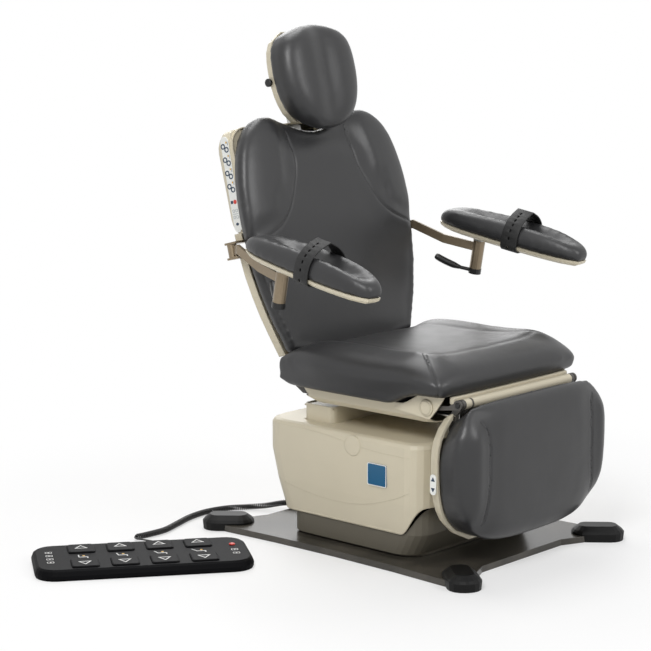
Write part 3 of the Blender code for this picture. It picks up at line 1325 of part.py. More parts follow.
def build_legrest(leg):
    def front(u, v):
        x, z = leg_place(u, v, LEG_TOP)
        bolster = LEG_BOLSTER * smooth_step((abs(x) - LEG_BOLSTER_X) / LEG_BOLSTER_BLEND)
        return Vector((x, LEG_EDGE + (LEG_FRONT - LEG_EDGE - bolster) * roll(u) * roll(v), z))

    def rear(u, v):
        x, z = leg_place(u, v, LEG_REAR_TOP)
        return Vector((0.975 * x, LEG_BACK, z))

    pad = cushion("legrest_cushion", 17, 15, front, rear)
    finish(pad, CHARCOAL_VINYL, 0.45, 0.0, leg, 80.0)

    plate_front = LEG_BACK + FIT_GAP
    plate_rear = plate_front + SHEET_METAL
    half = LEG_EYE_X + 1.7 * CRANK_THICKNESS
    frame = block("legrest_frame", (-half, plate_front, LEG_PLATE_BOTTOM),
                  (half, plate_rear, LEG_REAR_TOP - 0.7 * LEG_EYE))
    root = LEG_REAR_TOP - LEG_ARM_REACH
    for side in (-1.0, 1.0):
        inner, outer = side * LEG_EYE_X, side * (LEG_EYE_X + 2.0 * CRANK_THICKNESS)
        rib = LEG_BACK + 1.7 * LEG_EYE
        outline = [(plate_front, root), (rib, root), (rib, LEG_REAR_TOP),
                   (LEG_Y + 0.93 * LEG_EYE, LEG_Z + 0.36 * LEG_EYE),
                   (LEG_Y - 0.43 * LEG_EYE, LEG_Z - 0.86 * LEG_EYE),
                   (plate_front, LEG_REAR_TOP + 0.57 * LEG_EYE)]
        join(frame, prism("hinge_arm", outline, "X", inner, outer))
        join(frame, eye(inner, outer, LEG_Y, LEG_Z, LEG_EYE))
    pin = crank_pin_place(LEG_Y, LEG_Z, LEG_CRANK, LEG_CRANK_REST)
    crank = crank_with_pin(-1.0, LEG_Y, LEG_Z, pin, LEG_EYE)
    face = ROD_X - 0.5 * ROD_END_WIDTH - FIT_GAP
    rib = LEG_BACK + 1.43 * LEG_EYE
    gusset = [(plate_front, root), (rib, root), (rib, LEG_REAR_TOP + 0.86 * LEG_EYE),
              (plate_front, LEG_REAR_TOP + 0.57 * LEG_EYE)]
    join(crank, prism("gusset", gusset, "X", -face, -face + CRANK_THICKNESS))
    join(frame, crank)
    cut(frame, shaft_bore(SEAT_X, LEG_Y, LEG_Z, LEG_SHAFT_RADIUS))
    finish(frame, STEEL, 0.4, 1.0, leg)

    shell_front = LEG_BACK + FIT_GAP
    high = LEG_REAR_TOP + LEG_SHELL_RISE
    rings = []
    hollow = []
    for share, draw in ((0.0, 0.0), (0.35, 0.12), (0.75, 0.38), (1.0, 1.0)):
        level = shell_front + share * LEG_SHELL_DEPTH
        inset = draw * LEG_SHELL_DRAW
        rings.append([Vector((x, level, z)) for x, z in leg_outline(inset, high)])
        inner_level = level - WALL
        hollow.append([Vector((x, inner_level, z)) for x, z in leg_outline(inset + 2.0 * WALL, high)])
    shell = loft("legrest_shell", rings)
    cut(shell, loft("hollow", hollow))
    cut(shell, block("notch", (-LEG_NOTCH_X, shell_front - WALL, LEG_NOTCH_Z),
                     (LEG_NOTCH_X, shell_front + 2.0 * LEG_SHELL_DEPTH, LEG_TOP + WALL)))
    finish(shell, PALE_PLASTIC, 0.45, 0.0, leg)

    half = 0.5 * LEG_KEY_LENGTH
    near = shell_front + LEG_KEY_INSET
    outline = rounded_rectangle(near, near + LEG_KEY_WIDTH, LEG_KEY_Z - half, LEG_KEY_Z + half,
                                0.45 * LEG_KEY_WIDTH, steps=3)
    share = (LEG_KEY_Z - LEG_BOTTOM) / (high - LEG_BOTTOM)
    face = -leg_half_width(share) - 2.0 * RUN_GAP
    keys = prism("legrest_keys", outline, "X", face - PANEL_THICKNESS, face)
    finish(keys, PANEL_FILM, 0.35, 0.0, leg)


# Foot control and its cord

def pedal_matrix():
    return Matrix.Translation((PEDAL_X, PEDAL_Y, 0.0)) @ Matrix.Rotation(PEDAL_TURN, 4, "Z")


def pedal_outline(inset):
    half = 0.5 * PEDAL_LENGTH - inset
    deep = 0.5 * PEDAL_DEPTH - inset
    return rounded_rectangle(-half, half, -deep, deep, PEDAL_CORNER - inset, steps=6)


def pad_centre(index):
    column = index % PAD_COLUMNS
    row = index // PAD_COLUMNS
    x = PAD_PITCH * (column - 0.5 * (PAD_COLUMNS - 1))
    return x, PAD_ROW_OFFSET * (1 - 2 * row)


def pad_outline_round(place, grow):
    """Outline of a foot pad round its middle, grown or shrunk by a margin."""
    x, y = place
    half = 0.5 * FOOT_PAD_WIDTH + grow
    deep = 0.5 * FOOT_PAD_DEPTH + grow
    return rounded_rectangle(x - half, x + half, y - deep, y + deep, FOOT_PAD_CORNER, steps=2)


def build_foot_control(pad_bodies):
    floor = prism("foot_control_base", pedal_outline(0.25 * PEDAL_EDGE), "Z", 0.0, PEDAL_BASE)
    finish(move(floor, pedal_matrix()), BLACK_RUBBER, 0.6, 0.0, None)
    foot = PEDAL_BASE + FIT_GAP
    levels = ((foot, 0.08 * PEDAL_EDGE), (0.45 * PEDAL_HEIGHT, 0.0), (0.85 * PEDAL_HEIGHT, 0.4 * PEDAL_EDGE),
              (PEDAL_HEIGHT, PEDAL_EDGE))
    case = loft("foot_control_top", [at_height(pedal_outline(inset), height) for height, inset in levels])
    ceiling = PEDAL_HEIGHT - PEDAL_CEILING
    cut(case, prism("hollow", pedal_outline(PEDAL_WALL), "Z", foot - WALL, ceiling))
    pad_top = PEDAL_HEIGHT + FOOT_PAD_PROUD
    under = ceiling - FIT_GAP
    for index in range(2 * PAD_COLUMNS):
        place = pad_centre(index)
        cut(case, prism("hole", pad_outline_round(place, RUN_GAP), "Z", foot, pad_top))
        body = pad_outline_round(place, 0.0)
        flange = pad_outline_round(place, FOOT_PAD_RIM)
        crest = pad_outline_round(place, -FOOT_PAD_BEVEL)
        pad = loft("foot_pad_" + str(index + 1),
                   [at_height(flange, under - FOOT_PAD_FLANGE), at_height(flange, under),
                    at_height(body, under + 0.5 * FIT_GAP), at_height(body, pad_top - 0.7 * FOOT_PAD_BEVEL),
                    at_height(crest, pad_top)])
        finish(move(pad, pedal_matrix()), BLACK_RUBBER, 0.55, 0.0, pad_bodies[index])
    finish(move(case, pedal_matrix()), BLACK_RUBBER, 0.55, 0.0, None)


def cord_route():
    """Middle line of the curly cord, from the gland to the foot control's rear edge."""
    return [Vector(point) for point in (
        (GLAND_X, SKIRT_REAR + GLAND_LENGTH + CORD_LEAD, GLAND_Z),
        (GLAND_X - 0.0005, 0.315, 0.0430),
        (-0.052, 0.355, 0.0300),
        (-0.070, 0.425, 0.0285),
        (-0.100, 0.485, 0.0150),
        (-0.135, 0.530, 0.0096),
        (-0.185, 0.563, 0.0096),
        (-0.255, 0.580, 0.0096),
        (-0.330, 0.572, 0.0096),
        (-0.410, 0.546, 0.0096),
        (-0.480, 0.524, 0.0096),
        (-0.545, 0.524, 0.0096),
        (-0.592, 0.530, 0.0096),
    )]


def route_point(points, place):
    """Point on the smooth curve through the route, for a place from 0 to 1 along it."""
    scaled = place * (len(points) - 1)
    index = min(int(scaled), len(points) - 2)
    share = scaled - index
    before = points[max(index - 1, 0)]
    left = points[index]
    right = points[index + 1]
    after = points[min(index + 2, len(points) - 1)]
    return 0.5 * (
        2.0 * left
        + (right - before) * share
        + (2.0 * before - 5.0 * left + 4.0 * right - after) * share ** 2
        + (3.0 * left - before - 3.0 * right + after) * share ** 3
    )


def even_route(points, count):
    fine = [route_point(points, step / 600.0) for step in range(601)]
    lengths = [0.0]
    for left, right in zip(fine, fine[1:]):
        lengths.append(lengths[-1] + (right - left).length)
    result = []
    index = 0
    for step in range(count):
        goal = lengths[-1] * step / (count - 1)
        while index < len(fine) - 2 and lengths[index + 1] < goal:
            index += 1
        span = lengths[index + 1] - lengths[index]
        result.append(fine[index].lerp(fine[index + 1], (goal - lengths[index]) / span))
    return result


def curl_points(points):
    """Helix round the middle line, with its radius growing from nothing at both ends."""
    count = CURL_COUNT * POINTS_PER_CURL + 1
    middle = even_route(points, count)
    radius = 0.5 * (COIL_DIAMETER - CORD_DIAMETER)
    across = Vector((0.0, 0.0, 1.0))
    result = []
    for step, place in enumerate(middle):
        along = (middle[min(step + 1, count - 1)] - middle[max(step - 1, 0)]).normalized()
        across = (across - along * across.dot(along)).normalized()
        beside = along.cross(across)
        ease = smooth_step(min(step, count - 1 - step) / POINTS_PER_CURL)
        angle = 2.0 * math.pi * step / POINTS_PER_CURL
        result.append(place + radius * ease * (across * math.cos(angle) + beside * math.sin(angle)))
    return result


def least_self_gap(points):
    """Least gap between stretches of the cord that aren't neighbours along it."""
    apart = POINTS_PER_CURL // 2
    best = 1.0
    for index, point in enumerate(points):
        for other in points[index + apart + 1:index + 4 * POINTS_PER_CURL]:
            best = min(best, (point - other).length)
    return best - CORD_DIAMETER


def build_cord():
    route = cord_route()
    curls = curl_points(route)
    start_along = Vector((0.0, 1.0, 0.0))
    tail = pedal_matrix().to_3x3() @ Vector((0.0, 1.0, 0.0))
    entry = pedal_matrix() @ Vector((PEDAL_ENTRY, 0.5 * PEDAL_DEPTH, 0.45 * PEDAL_HEIGHT))
    boot_end = entry + tail * (BOOT_LENGTH + FIT_GAP)
    lead_start = CORD_LEAD - 2.0 * FIT_GAP
    lead_out = [route[0] - start_along * lead_start, route[0] - start_along * (0.5 * CORD_LEAD)]
    stop = boot_end + tail * (2.0 * FIT_GAP)
    run_in = stop + tail * (4.0 * CORD_DIAMETER)
    sway = Vector((-TAIL_SWAY, TAIL_SWAY, 0.0))
    bend = [curls[-1].lerp(run_in, 0.35) + sway, curls[-1].lerp(run_in, 0.75) + 0.8 * sway]
    lead_in = [stop + tail * (2.7 * CORD_DIAMETER), stop + tail * (1.2 * CORD_DIAMETER), stop]
    points = lead_out + curls + bend + lead_in
    length = sum((after - before).length for before, after in zip(points, points[1:]))
    print("least gap of the cord to itself, mm:", round(1000.0 * least_self_gap(points), 2))
    print("cord length along the wire, m:", round(length, 3))
    curve = bpy.data.curves.new("foot_cord", "CURVE")
    curve.dimensions = "3D"
    curve.bevel_depth = 0.5 * CORD_DIAMETER
    curve.bevel_resolution = 1
    curve.use_fill_caps = True
    curve.render_resolution_u = 0
    spline = curve.splines.new("POLY")
    spline.points.add(len(points) - 1)
    for point, place in zip(spline.points, points):
        point.co = (*place, 1.0)
    cord = bpy.data.objects.new("foot_cord", curve)
    bpy.context.collection.objects.link(cord)
    curve.materials.append(make_material("foot_cord", BLACK_RUBBER, 0.5))

    start = points[0] - start_along * FIT_GAP
    gland = turned("cord_gland", start, -start_along,
                   [(0.55 * GLAND_RADIUS, 0.0), (GLAND_RADIUS, 0.45 * GLAND_LENGTH),
                    (GLAND_RADIUS, GLAND_LENGTH)])
    finish(gland, BLACK_RUBBER, 0.55, 0.0, None)
    boot = turned("cord_boot", boot_end + tail * FIT_GAP, -tail,
                  [(0.6 * BOOT_RADIUS, 0.0), (BOOT_RADIUS, 0.6 * BOOT_LENGTH), (BOOT_RADIUS, BOOT_LENGTH)],
                  SMALL_SIDES)
    finish(boot, BLACK_RUBBER, 0.55, 0.0, None)


def main():
    clear_scene()
    carriage = make_body("lift_carriage", (0.0, LIFT_Y, 0.0))
    shroud = make_body("lift_shroud_body", (0.0, LIFT_Y, 0.0))
    seat = make_body("seat", (0.0, LIFT_Y, TILT_Z))
    back = make_body("back", (0.0, RECLINE_Y, RECLINE_Z))
    leg = make_body("legrest", (0.0, LEG_Y, LEG_Z))
    head_axis = back_matrix() @ Vector((0.0, -HEAD_HINGE_FORWARD, HEAD_HINGE_UP))
    head_bar = make_body("head_slide", back_matrix() @ Vector((0.0, HEAD_BAR_REAR, HEAD_BAR_BOTTOM)))
    head = make_body("headrest", head_axis)
    head_knob = make_body("knob", head_axis)
    recline_rod = make_body("recline_push", (ROD_X, RECLINE_Y, RECLINE_ROD_Z))
    leg_rod = make_body("leg_push", (-ROD_X, LEG_Y, LEG_ROD_Z))

    build_base_plate()
    build_foot_caps()
    build_kick_skirt()
    build_base_cover()
    build_lift(carriage, shroud)
    build_seat_frame(seat)
    build_seat_shell(seat)
    build_seat_cushion(seat)
    sweep, travel = crank_sweep(RECLINE_Y, RECLINE_Z, RECLINE_CRANK, RECLINE_CRANK_REST, RECLINE_TRAVEL)
    pin = crank_pin_place(RECLINE_Y, RECLINE_Z, RECLINE_CRANK, RECLINE_CRANK_REST)
    build_drive(("recline_drive", "recline_rod"), 1.0, SEAT_REAR - RECLINE_MOUTH, 1.0, RECLINE_ROD_Z,
                pin, sweep, travel, seat, recline_rod)
    sweep, travel = crank_sweep(LEG_Y, LEG_Z, LEG_CRANK, LEG_CRANK_REST, LEG_TRAVEL)
    pin = crank_pin_place(LEG_Y, LEG_Z, LEG_CRANK, LEG_CRANK_REST)
    build_drive(("leg_drive", "leg_rod"), -1.0, SHELL_FRONT + LEG_MOUTH, -1.0, LEG_ROD_Z,
                pin, sweep, travel, seat, leg_rod)
    build_back_frame(back)
    build_back_shell(back)
    build_back_cushion(back)
    build_headrest(head_bar, head, head_knob)
    for side, hand in ((-1.0, "right"), (1.0, "left")):
        arm = make_body("arm_" + hand, back_matrix() @ arm_pivot(side))
        pad = make_body("pad_" + hand, (side * ARM_X, ARM_Y, ARM_Z))
        lever = make_body("lever_" + hand, (side * ARM_X, ARM_Y, ARM_Z))
        build_arm(side, hand, arm, pad, lever)
    build_legrest(leg)
    pads = []
    for index in range(2 * PAD_COLUMNS):
        x, y = pad_centre(index)
        place = pedal_matrix() @ Vector((x, y, PEDAL_HEIGHT))
        pads.append(make_body("foot_key_" + str(index + 1), place))
    build_foot_control(pads)
    build_cord()


main()
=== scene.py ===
import json
import math

import bmesh
import bpy
import numpy as np
from bpy.props import FloatProperty, FloatVectorProperty, IntProperty, PointerProperty
from mathutils import Matrix, Vector
from mathutils.bvhtree import BVHTree
from mathutils.kdtree import KDTree


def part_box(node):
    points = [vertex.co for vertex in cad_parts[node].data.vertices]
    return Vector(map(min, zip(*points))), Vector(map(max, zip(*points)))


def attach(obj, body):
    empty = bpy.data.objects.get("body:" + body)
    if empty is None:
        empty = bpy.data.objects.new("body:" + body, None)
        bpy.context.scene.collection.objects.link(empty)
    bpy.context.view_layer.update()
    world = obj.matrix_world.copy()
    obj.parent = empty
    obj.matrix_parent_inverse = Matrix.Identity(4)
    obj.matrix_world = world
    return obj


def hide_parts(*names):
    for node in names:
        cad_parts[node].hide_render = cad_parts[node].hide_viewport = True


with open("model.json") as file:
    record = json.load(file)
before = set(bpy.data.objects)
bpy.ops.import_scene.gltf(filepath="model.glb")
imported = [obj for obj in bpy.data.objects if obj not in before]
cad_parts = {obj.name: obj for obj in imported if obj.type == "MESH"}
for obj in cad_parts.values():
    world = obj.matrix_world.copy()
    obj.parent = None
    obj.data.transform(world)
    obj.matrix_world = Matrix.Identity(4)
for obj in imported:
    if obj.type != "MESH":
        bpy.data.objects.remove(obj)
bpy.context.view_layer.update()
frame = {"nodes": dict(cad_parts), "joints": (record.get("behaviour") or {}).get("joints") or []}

bl_info = {
    "name": "Surgery chair",
    "version": (1, 0, 0),
    "blender": (4, 5, 0),
    "location": "3D View > Sidebar > Chair",
    "description": "Dresses the packed surgery chair: upholstery, covers, keys, cord and stage",
    "category": "Add Mesh",
}

NODES = frame["nodes"]
JOINTS = {joint["name"]: joint for joint in frame["joints"]}
MM = 0.001
UP = Vector((0.0, 0.0, 1.0))

# Directions of the leaned back, from the axis that the headrest slides on
BACK_UP = Vector(JOINTS["head_slide"]["axis"])
BACK_FORWARD = Vector((0.0, -BACK_UP.z, BACK_UP.y))
BACK_AXIS = Vector(JOINTS["recline"]["pos_m"])
LEG_AXIS = Vector(JOINTS["leg_raise"]["pos_m"])

# Camera of the photograph
CAMERA_PLACE = (-4.60397, -3.82993, 1.65167)
CAMERA_LOOK = (0.73064, 0.66073, -0.17207)
CAMERA_LENS = 118.48
SENSOR_WIDTH = 36.0

# Foot control and cord
PEDAL_PLACE = Vector((-0.738, 0.342, 0.0))
PEDAL_TURN = math.radians(-36.9)
PEDAL_REAR = 0.131
PEDAL_ENTRY = 0.055
PEDAL_TOP = 0.030
CORD_START_Y = 0.281
CORD_LEAD = 0.020
CORD_GAP = 0.0003
BOOT_LENGTH = 0.024
CORD_SWAY = 0.010
ROUTE = (
    (-0.0500, CORD_START_Y, 0.0500),
    (-0.0505, 0.315, 0.0430),
    (-0.052, 0.355, 0.0300),
    (-0.070, 0.425, 0.0285),
    (-0.100, 0.485, 0.0150),
    (-0.135, 0.530, 0.0096),
    (-0.185, 0.563, 0.0096),
    (-0.255, 0.580, 0.0096),
    (-0.330, 0.572, 0.0096),
    (-0.410, 0.546, 0.0096),
    (-0.480, 0.524, 0.0096),
    (-0.545, 0.524, 0.0096),
    (-0.592, 0.530, 0.0096),
)

# Inner line of a forearm strap, from under the tray round to the peak, in millimetres from the swivel
STRAP_LINE = ((0.0, 13.7), (50.0, 13.7), (62.5, 17.5), (67.2, 27.0), (67.5, 40.0), (67.2, 55.0), (64.0, 72.0),
              (56.0, 88.0), (44.0, 101.0), (29.0, 112.0), (14.0, 119.5), (0.0, 126.0))

# Clamp lever's grip: share of the lever's length, and radius there in millimetres
GRIP_PROFILE = ((0.40, 6.4), (0.46, 7.6), (0.53, 9.4), (0.60, 10.0), (0.75, 10.2), (0.90, 10.2), (0.99, 9.8),
                (1.03, 8.4), (1.05, 5.6))

# Holes of a forearm strap, in degrees above the level of its middle
HOLE_TURNS = (-34.0, -14.0, 4.0, 20.0, 36.0, 53.0, 68.0)

SIDES = ((-1.0, "right"), (1.0, "left"))
SHARP_ANGLE = math.radians(40.0)
SWELL_FRAMES = 20
WHITE = (1.0, 1.0, 1.0, 1.0)

# Rounds of smoothing on a pad: of its front's share, of a push, of the form along its seams, of the
# swelling, of the last change of shape and of its small waves, which is done forwards and back
FRONT_ROUNDS, PUSH_ROUNDS, FLOW_ROUNDS, SWELL_ROUNDS, FORM_ROUNDS, EVEN_ROUNDS = 8, 14, 80, 30, 40, 30
EVEN_FORWARDS, EVEN_BACK = 0.5, -0.53

# How far round its rim a pad counts as front, and the share of front below which the cover is held
FRONT_TURN, HELD_SHARE = 0.7, 0.15

# Ink on the foot control, from just under its face to just above it
INK_DEPTH, INK_RISE, SPOT_RISE = -0.0003, 0.0005, 0.0006

# A Mix node has sockets of every kind, and these are the ones for colours
MIX_SHARE, MIX_FIRST, MIX_SECOND, MIX_RESULT = 0, 6, 7, 2


def linear(code):
    """Linear colour of an sRGB hex value."""
    shares = [int(code[place:place + 2], 16) / 255.0 for place in (0, 2, 4)]
    return tuple(s / 12.92 if s <= 0.04045 else ((s + 0.055) / 1.055) ** 2.4 for s in shares)


def per(size_mm):
    """Texture scale, in repeats a metre, of a pattern with this spacing in millimetres."""
    return 1.0 / (size_mm * MM)


def unit(values):
    """Values held between 0 and 1."""
    return np.clip(values, 0.0, 1.0)


def eased(share):
    """A share from 0 to 1 that starts and ends gently."""
    return share * share * (3.0 - 2.0 * share)


def colour_property(label, note, code):
    return FloatVectorProperty(name=label, description=note, subtype="COLOR", min=0.0, max=1.0,
                               default=linear(code))


def length_property(label, note, value):
    return FloatProperty(name=label, description=note, default=value, min=0.0, unit="LENGTH", precision=4)


class ChairSizes(bpy.types.PropertyGroup):
    """Sizes of the soft and fine work."""
    voxel: length_property("Cover mesh", "Spacing of the points that the upholstery is simulated on", 0.006)
    slack: length_property("Slack", "How far the foam is set back before the cover swells", 0.003)
    swell: length_property("Swell", "Most that the cover may swell", 0.005)
    seam_depth: length_property("Seam depth", "Depth of a sewn seam", 0.0024)
    seam_width: length_property("Seam width", "Half width of the hollow along a seam", 0.005)
    push: length_property("Push", "Most that one step of filling may push the cover out", 0.005)
    plump: length_property("Plumpness", "How far the cover stands out from the plain form", 0.003)
    flow: length_property("Flow", "How far from a seam the form is drawn smooth", 0.055)
    seam_reach: length_property("Seam reach", "How far from a seam the cover is still drawn in", 0.022)
    stitch: length_property("Stitch", "Length of one stitch", 0.005)
    strap_width: length_property("Strap width", "Width of a forearm strap", 0.054)
    strap_thickness: length_property("Strap thickness", "Thickness of a forearm strap", 0.003)
    wire: length_property("Cord wire", "Diameter of the cord's wire", 0.0045)
    coil: length_property("Cord coil", "Outer diameter of the cord's coil", 0.018)
    curls: IntProperty(name="Curls", description="Turns of the curly cord", default=132, min=10, max=200)


class ChairColours(bpy.types.PropertyGroup):
    """Colours of the finishes."""
    vinyl: colour_property("Vinyl", "Upholstery", "2a2a2b")
    thread: colour_property("Thread", "Seam thread", "202021")
    beige: colour_property("Beige ABS", "Moulded covers", "d4cbb4")
    taupe: colour_property("Taupe ABS", "Kick skirt", "645f53")
    plate: colour_property("Plate paint", "Base plate", "3d3a34")
    plate_edge: colour_property("Plate wear", "Worn paint on the base plate", "5c574f")
    black: colour_property("Black", "Rubber and nylon", "0b0b0b")
    strap: colour_property("Strap grey", "Forearm straps", "272727")
    pedal: colour_property("Pedal black", "Foot control housing", "08080a")
    steel: colour_property("Steel", "Ground steel", "b4b3af")
    bronze: colour_property("Bronze paint", "Arm bars", "897a64")
    film: colour_property("Film", "Key panels", "eff0ec")
    navy: colour_property("Navy ink", "Key rings and arrows", "22384f")
    yellow: colour_property("Yellow ink", "Small marks", "d9a520")
    red: colour_property("Red ink", "Stop keys", "d4453c")
    white: colour_property("White ink", "Marks on the foot control", "dcdcda")
    grey: colour_property("Grey ink", "Fine lines on the panel", "8d979d")
    plaque: colour_property("Plaque enamel", "Bare plaque on the base cover", "1f5f86")


# Nodes and materials

def add_node(tree, kind, sockets=None, **settings):
    """Add a node, set its own settings, and fill its sockets with values or links."""
    made = tree.nodes.new(kind)
    for key, value in settings.items():
        setattr(made, key, value)
    for key, value in (sockets or {}).items():
        if isinstance(value, bpy.types.NodeSocket):
            tree.links.new(value, made.inputs[key])
        else:
            made.inputs[key].default_value = value
    return made


def tint(context, name):
    return tuple(getattr(context.scene.chair_colours, name))


def start_material(name, roughness, metallic=0.0):
    """A fresh material: its tree, its shader and the place on the object at rest."""
    material = bpy.data.materials.new(name)
    material.use_nodes = True
    tree = material.node_tree
    shader = tree.nodes["Principled BSDF"]
    shader.inputs["Roughness"].default_value = roughness
    shader.inputs["Metallic"].default_value = metallic
    place = add_node(tree, "ShaderNodeTexCoord").outputs["Object"]
    return material, tree, shader, place


def paint(tree, shader, place, colour, spacing_mm, change):
    """Colour that drifts a little lighter and darker over the surface."""
    drift = add_node(tree, "ShaderNodeTexNoise",
                     {"Vector": place, "Scale": per(spacing_mm), "Detail": 3.0})
    light = tuple(min(part * (1.0 + change), 1.0) for part in colour)
    dark = tuple(part * (1.0 - change) for part in colour)
    mixed = add_node(tree, "ShaderNodeMix", {MIX_SHARE: drift.outputs["Fac"], MIX_FIRST: (*dark, 1.0),
                                             MIX_SECOND: (*light, 1.0)}, data_type="RGBA")
    tree.links.new(mixed.outputs[MIX_RESULT], shader.inputs["Base Color"])


def charcoal_vinyl(context):
    """Expanded vinyl, embossed with a leather grain: a soft broad sheen with a fine pebble in it."""
    found = bpy.data.materials.get("charcoal_vinyl_embossed")
    if found:
        return found
    material, tree, shader, place = start_material("charcoal_vinyl_embossed", 0.36)
    # The real grain is under 1 mm and would not show, so it is drawn at 2.2 mm
    grain = add_node(tree, "ShaderNodeTexVoronoi", {"Vector": place, "Scale": per(2.2)},
                     feature="DISTANCE_TO_EDGE")
    foam = add_node(tree, "ShaderNodeTexNoise", {"Vector": place, "Scale": per(70.0), "Detail": 2.0})
    pebble = add_node(tree, "ShaderNodeBump",
                      {"Height": grain.outputs["Distance"], "Strength": 0.16, "Distance": 0.35 * MM})
    soft = add_node(tree, "ShaderNodeBump", {"Height": foam.outputs["Fac"], "Strength": 0.30,
                                             "Distance": 2.0 * MM, "Normal": pebble.outputs["Normal"]})
    tree.links.new(soft.outputs["Normal"], shader.inputs["Normal"])
    paint(tree, shader, place, tint(context, "vinyl"), 40.0, 0.07)
    rough = add_node(tree, "ShaderNodeMapRange",
                     {"Value": foam.outputs["Fac"], "To Min": 0.33, "To Max": 0.45})
    tree.links.new(rough.outputs["Result"], shader.inputs["Roughness"])
    shader.inputs["Specular IOR Level"].default_value = 0.5
    return material


def moulded(name, colour, roughness, grain_mm, depth_mm, edge_mm=2.0, change=0.03, gloss=0.5):
    """Injection-moulded plastic or rubber: an even colour, a fine spark-eroded grain and soft edges."""
    found = bpy.data.materials.get(name)
    if found:
        return found
    material, tree, shader, place = start_material(name, roughness)
    grain = add_node(tree, "ShaderNodeTexNoise", {"Vector": place, "Scale": per(grain_mm), "Detail": 2.0})
    edge = add_node(tree, "ShaderNodeBevel", {"Radius": edge_mm * MM}, samples=4)
    bump = add_node(tree, "ShaderNodeBump", {"Height": grain.outputs["Fac"], "Strength": 0.2,
                                             "Distance": depth_mm * MM, "Normal": edge.outputs["Normal"]})
    tree.links.new(bump.outputs["Normal"], shader.inputs["Normal"])
    paint(tree, shader, place, colour, 90.0, change)
    rough = add_node(tree, "ShaderNodeMapRange", {"Value": grain.outputs["Fac"], "To Min": roughness - 0.05,
                                                  "To Max": roughness + 0.05})
    tree.links.new(rough.outputs["Result"], shader.inputs["Roughness"])
    shader.inputs["Specular IOR Level"].default_value = gloss
    return material


def beige_abs(context):
    """Moulded ABS with a satin grain: warm and even, with a soft highlight on its rounded edges."""
    return moulded("beige_abs_moulded", tint(context, "beige"), 0.42, 1.6, 0.12, 4.0)


def taupe_abs(context):
    """Moulded ABS with a coarser grain, which keeps the skirt dull."""
    return moulded("taupe_abs_moulded", tint(context, "taupe"), 0.58, 2.0, 0.25, 3.0)


def black_rubber(context):
    """Compression-moulded rubber: dull, with a grey bloom on it."""
    return moulded("black_rubber_moulded", tint(context, "black"), 0.46, 2.5, 0.25,
                   edge_mm=1.5, change=0.25, gloss=0.2)


def strap_rubber(context):
    """Calendered rubber sheet: a dull dark grey, rubbed paler by use."""
    return moulded("grey_rubber_calendered", tint(context, "strap"), 0.55, 2.5, 0.25,
                   edge_mm=0.5, change=0.15, gloss=0.3)


def black_nylon(context):
    """Glass-filled nylon: black, with a tight satin highlight."""
    return moulded("black_nylon_moulded", tint(context, "black"), 0.36, 1.5, 0.10,
                   edge_mm=1.5, change=0.12)


def pedal_abs(context):
    """ABS with a heavy leather-like mould grain, so that a shoe grips it."""
    return moulded("black_abs_grained", tint(context, "pedal"), 0.55, 2.4, 0.5,
                   change=0.10, gloss=0.06)


def plate_paint(context):
    """Textured powder coat on steel plate: a fine speckle, rubbed lighter here and there."""
    material, tree, shader, place = start_material("taupe_powder_coat", 0.20)
    # The real orange peel is about 1 mm, drawn at 3 mm so that it shows
    peel = add_node(tree, "ShaderNodeTexNoise", {"Vector": place, "Scale": per(3.0), "Detail": 2.0})
    rub = add_node(tree, "ShaderNodeTexNoise", {"Vector": place, "Scale": per(120.0), "Detail": 5.0})
    share = add_node(tree, "ShaderNodeMapRange", {"Value": rub.outputs["Fac"], "From Min": 0.42,
                                                  "From Max": 0.72, "To Max": 0.7})
    coat = add_node(tree, "ShaderNodeMix", {MIX_SHARE: share.outputs["Result"],
                                            MIX_FIRST: (*tint(context, "plate"), 1.0),
                                            MIX_SECOND: (*tint(context, "plate_edge"), 1.0)},
                    data_type="RGBA")
    tree.links.new(coat.outputs[MIX_RESULT], shader.inputs["Base Color"])
    edge = add_node(tree, "ShaderNodeBevel", {"Radius": 3.0 * MM}, samples=4)
    bump = add_node(tree, "ShaderNodeBump", {"Height": peel.outputs["Fac"], "Strength": 0.3,
                                             "Distance": 0.3 * MM, "Normal": edge.outputs["Normal"]})
    tree.links.new(bump.outputs["Normal"], shader.inputs["Normal"])
    return material


def ground_steel(context):
    """Ground steel bar: bright, with fine scratches along it that stretch the highlight."""
    material, tree, shader, place = start_material("steel_ground", 0.30, 1.0)
    stretch = add_node(tree, "ShaderNodeMapping", {"Vector": place, "Scale": (0.05, 1.0, 1.0)})
    lines = add_node(tree, "ShaderNodeTexNoise", {"Vector": stretch.outputs["Vector"], "Scale": per(1.2)})
    bump = add_node(tree, "ShaderNodeBump", {"Height": lines.outputs["Fac"], "Strength": 0.15,
                                             "Distance": 0.05 * MM})
    tree.links.new(bump.outputs["Normal"], shader.inputs["Normal"])
    paint(tree, shader, place, tint(context, "steel"), 30.0, 0.08)
    return material


def bronze_paint(context):
    """Metallic bronze paint over steel: a soft glint of flakes under a satin coat."""
    material, tree, shader, place = start_material("bronze_metallic_paint", 0.34, 0.75)
    flake = add_node(tree, "ShaderNodeTexVoronoi", {"Vector": place, "Scale": per(1.4)})
    bump = add_node(tree, "ShaderNodeBump", {"Height": flake.outputs["Distance"], "Strength": 0.12,
                                             "Distance": 0.1 * MM})
    tree.links.new(bump.outputs["Normal"], shader.inputs["Normal"])
    paint(tree, shader, place, tint(context, "bronze"), 8.0, 0.12)
    shader.inputs["Coat Weight"].default_value = 0.3
    shader.inputs["Coat Roughness"].default_value = 0.25
    return material


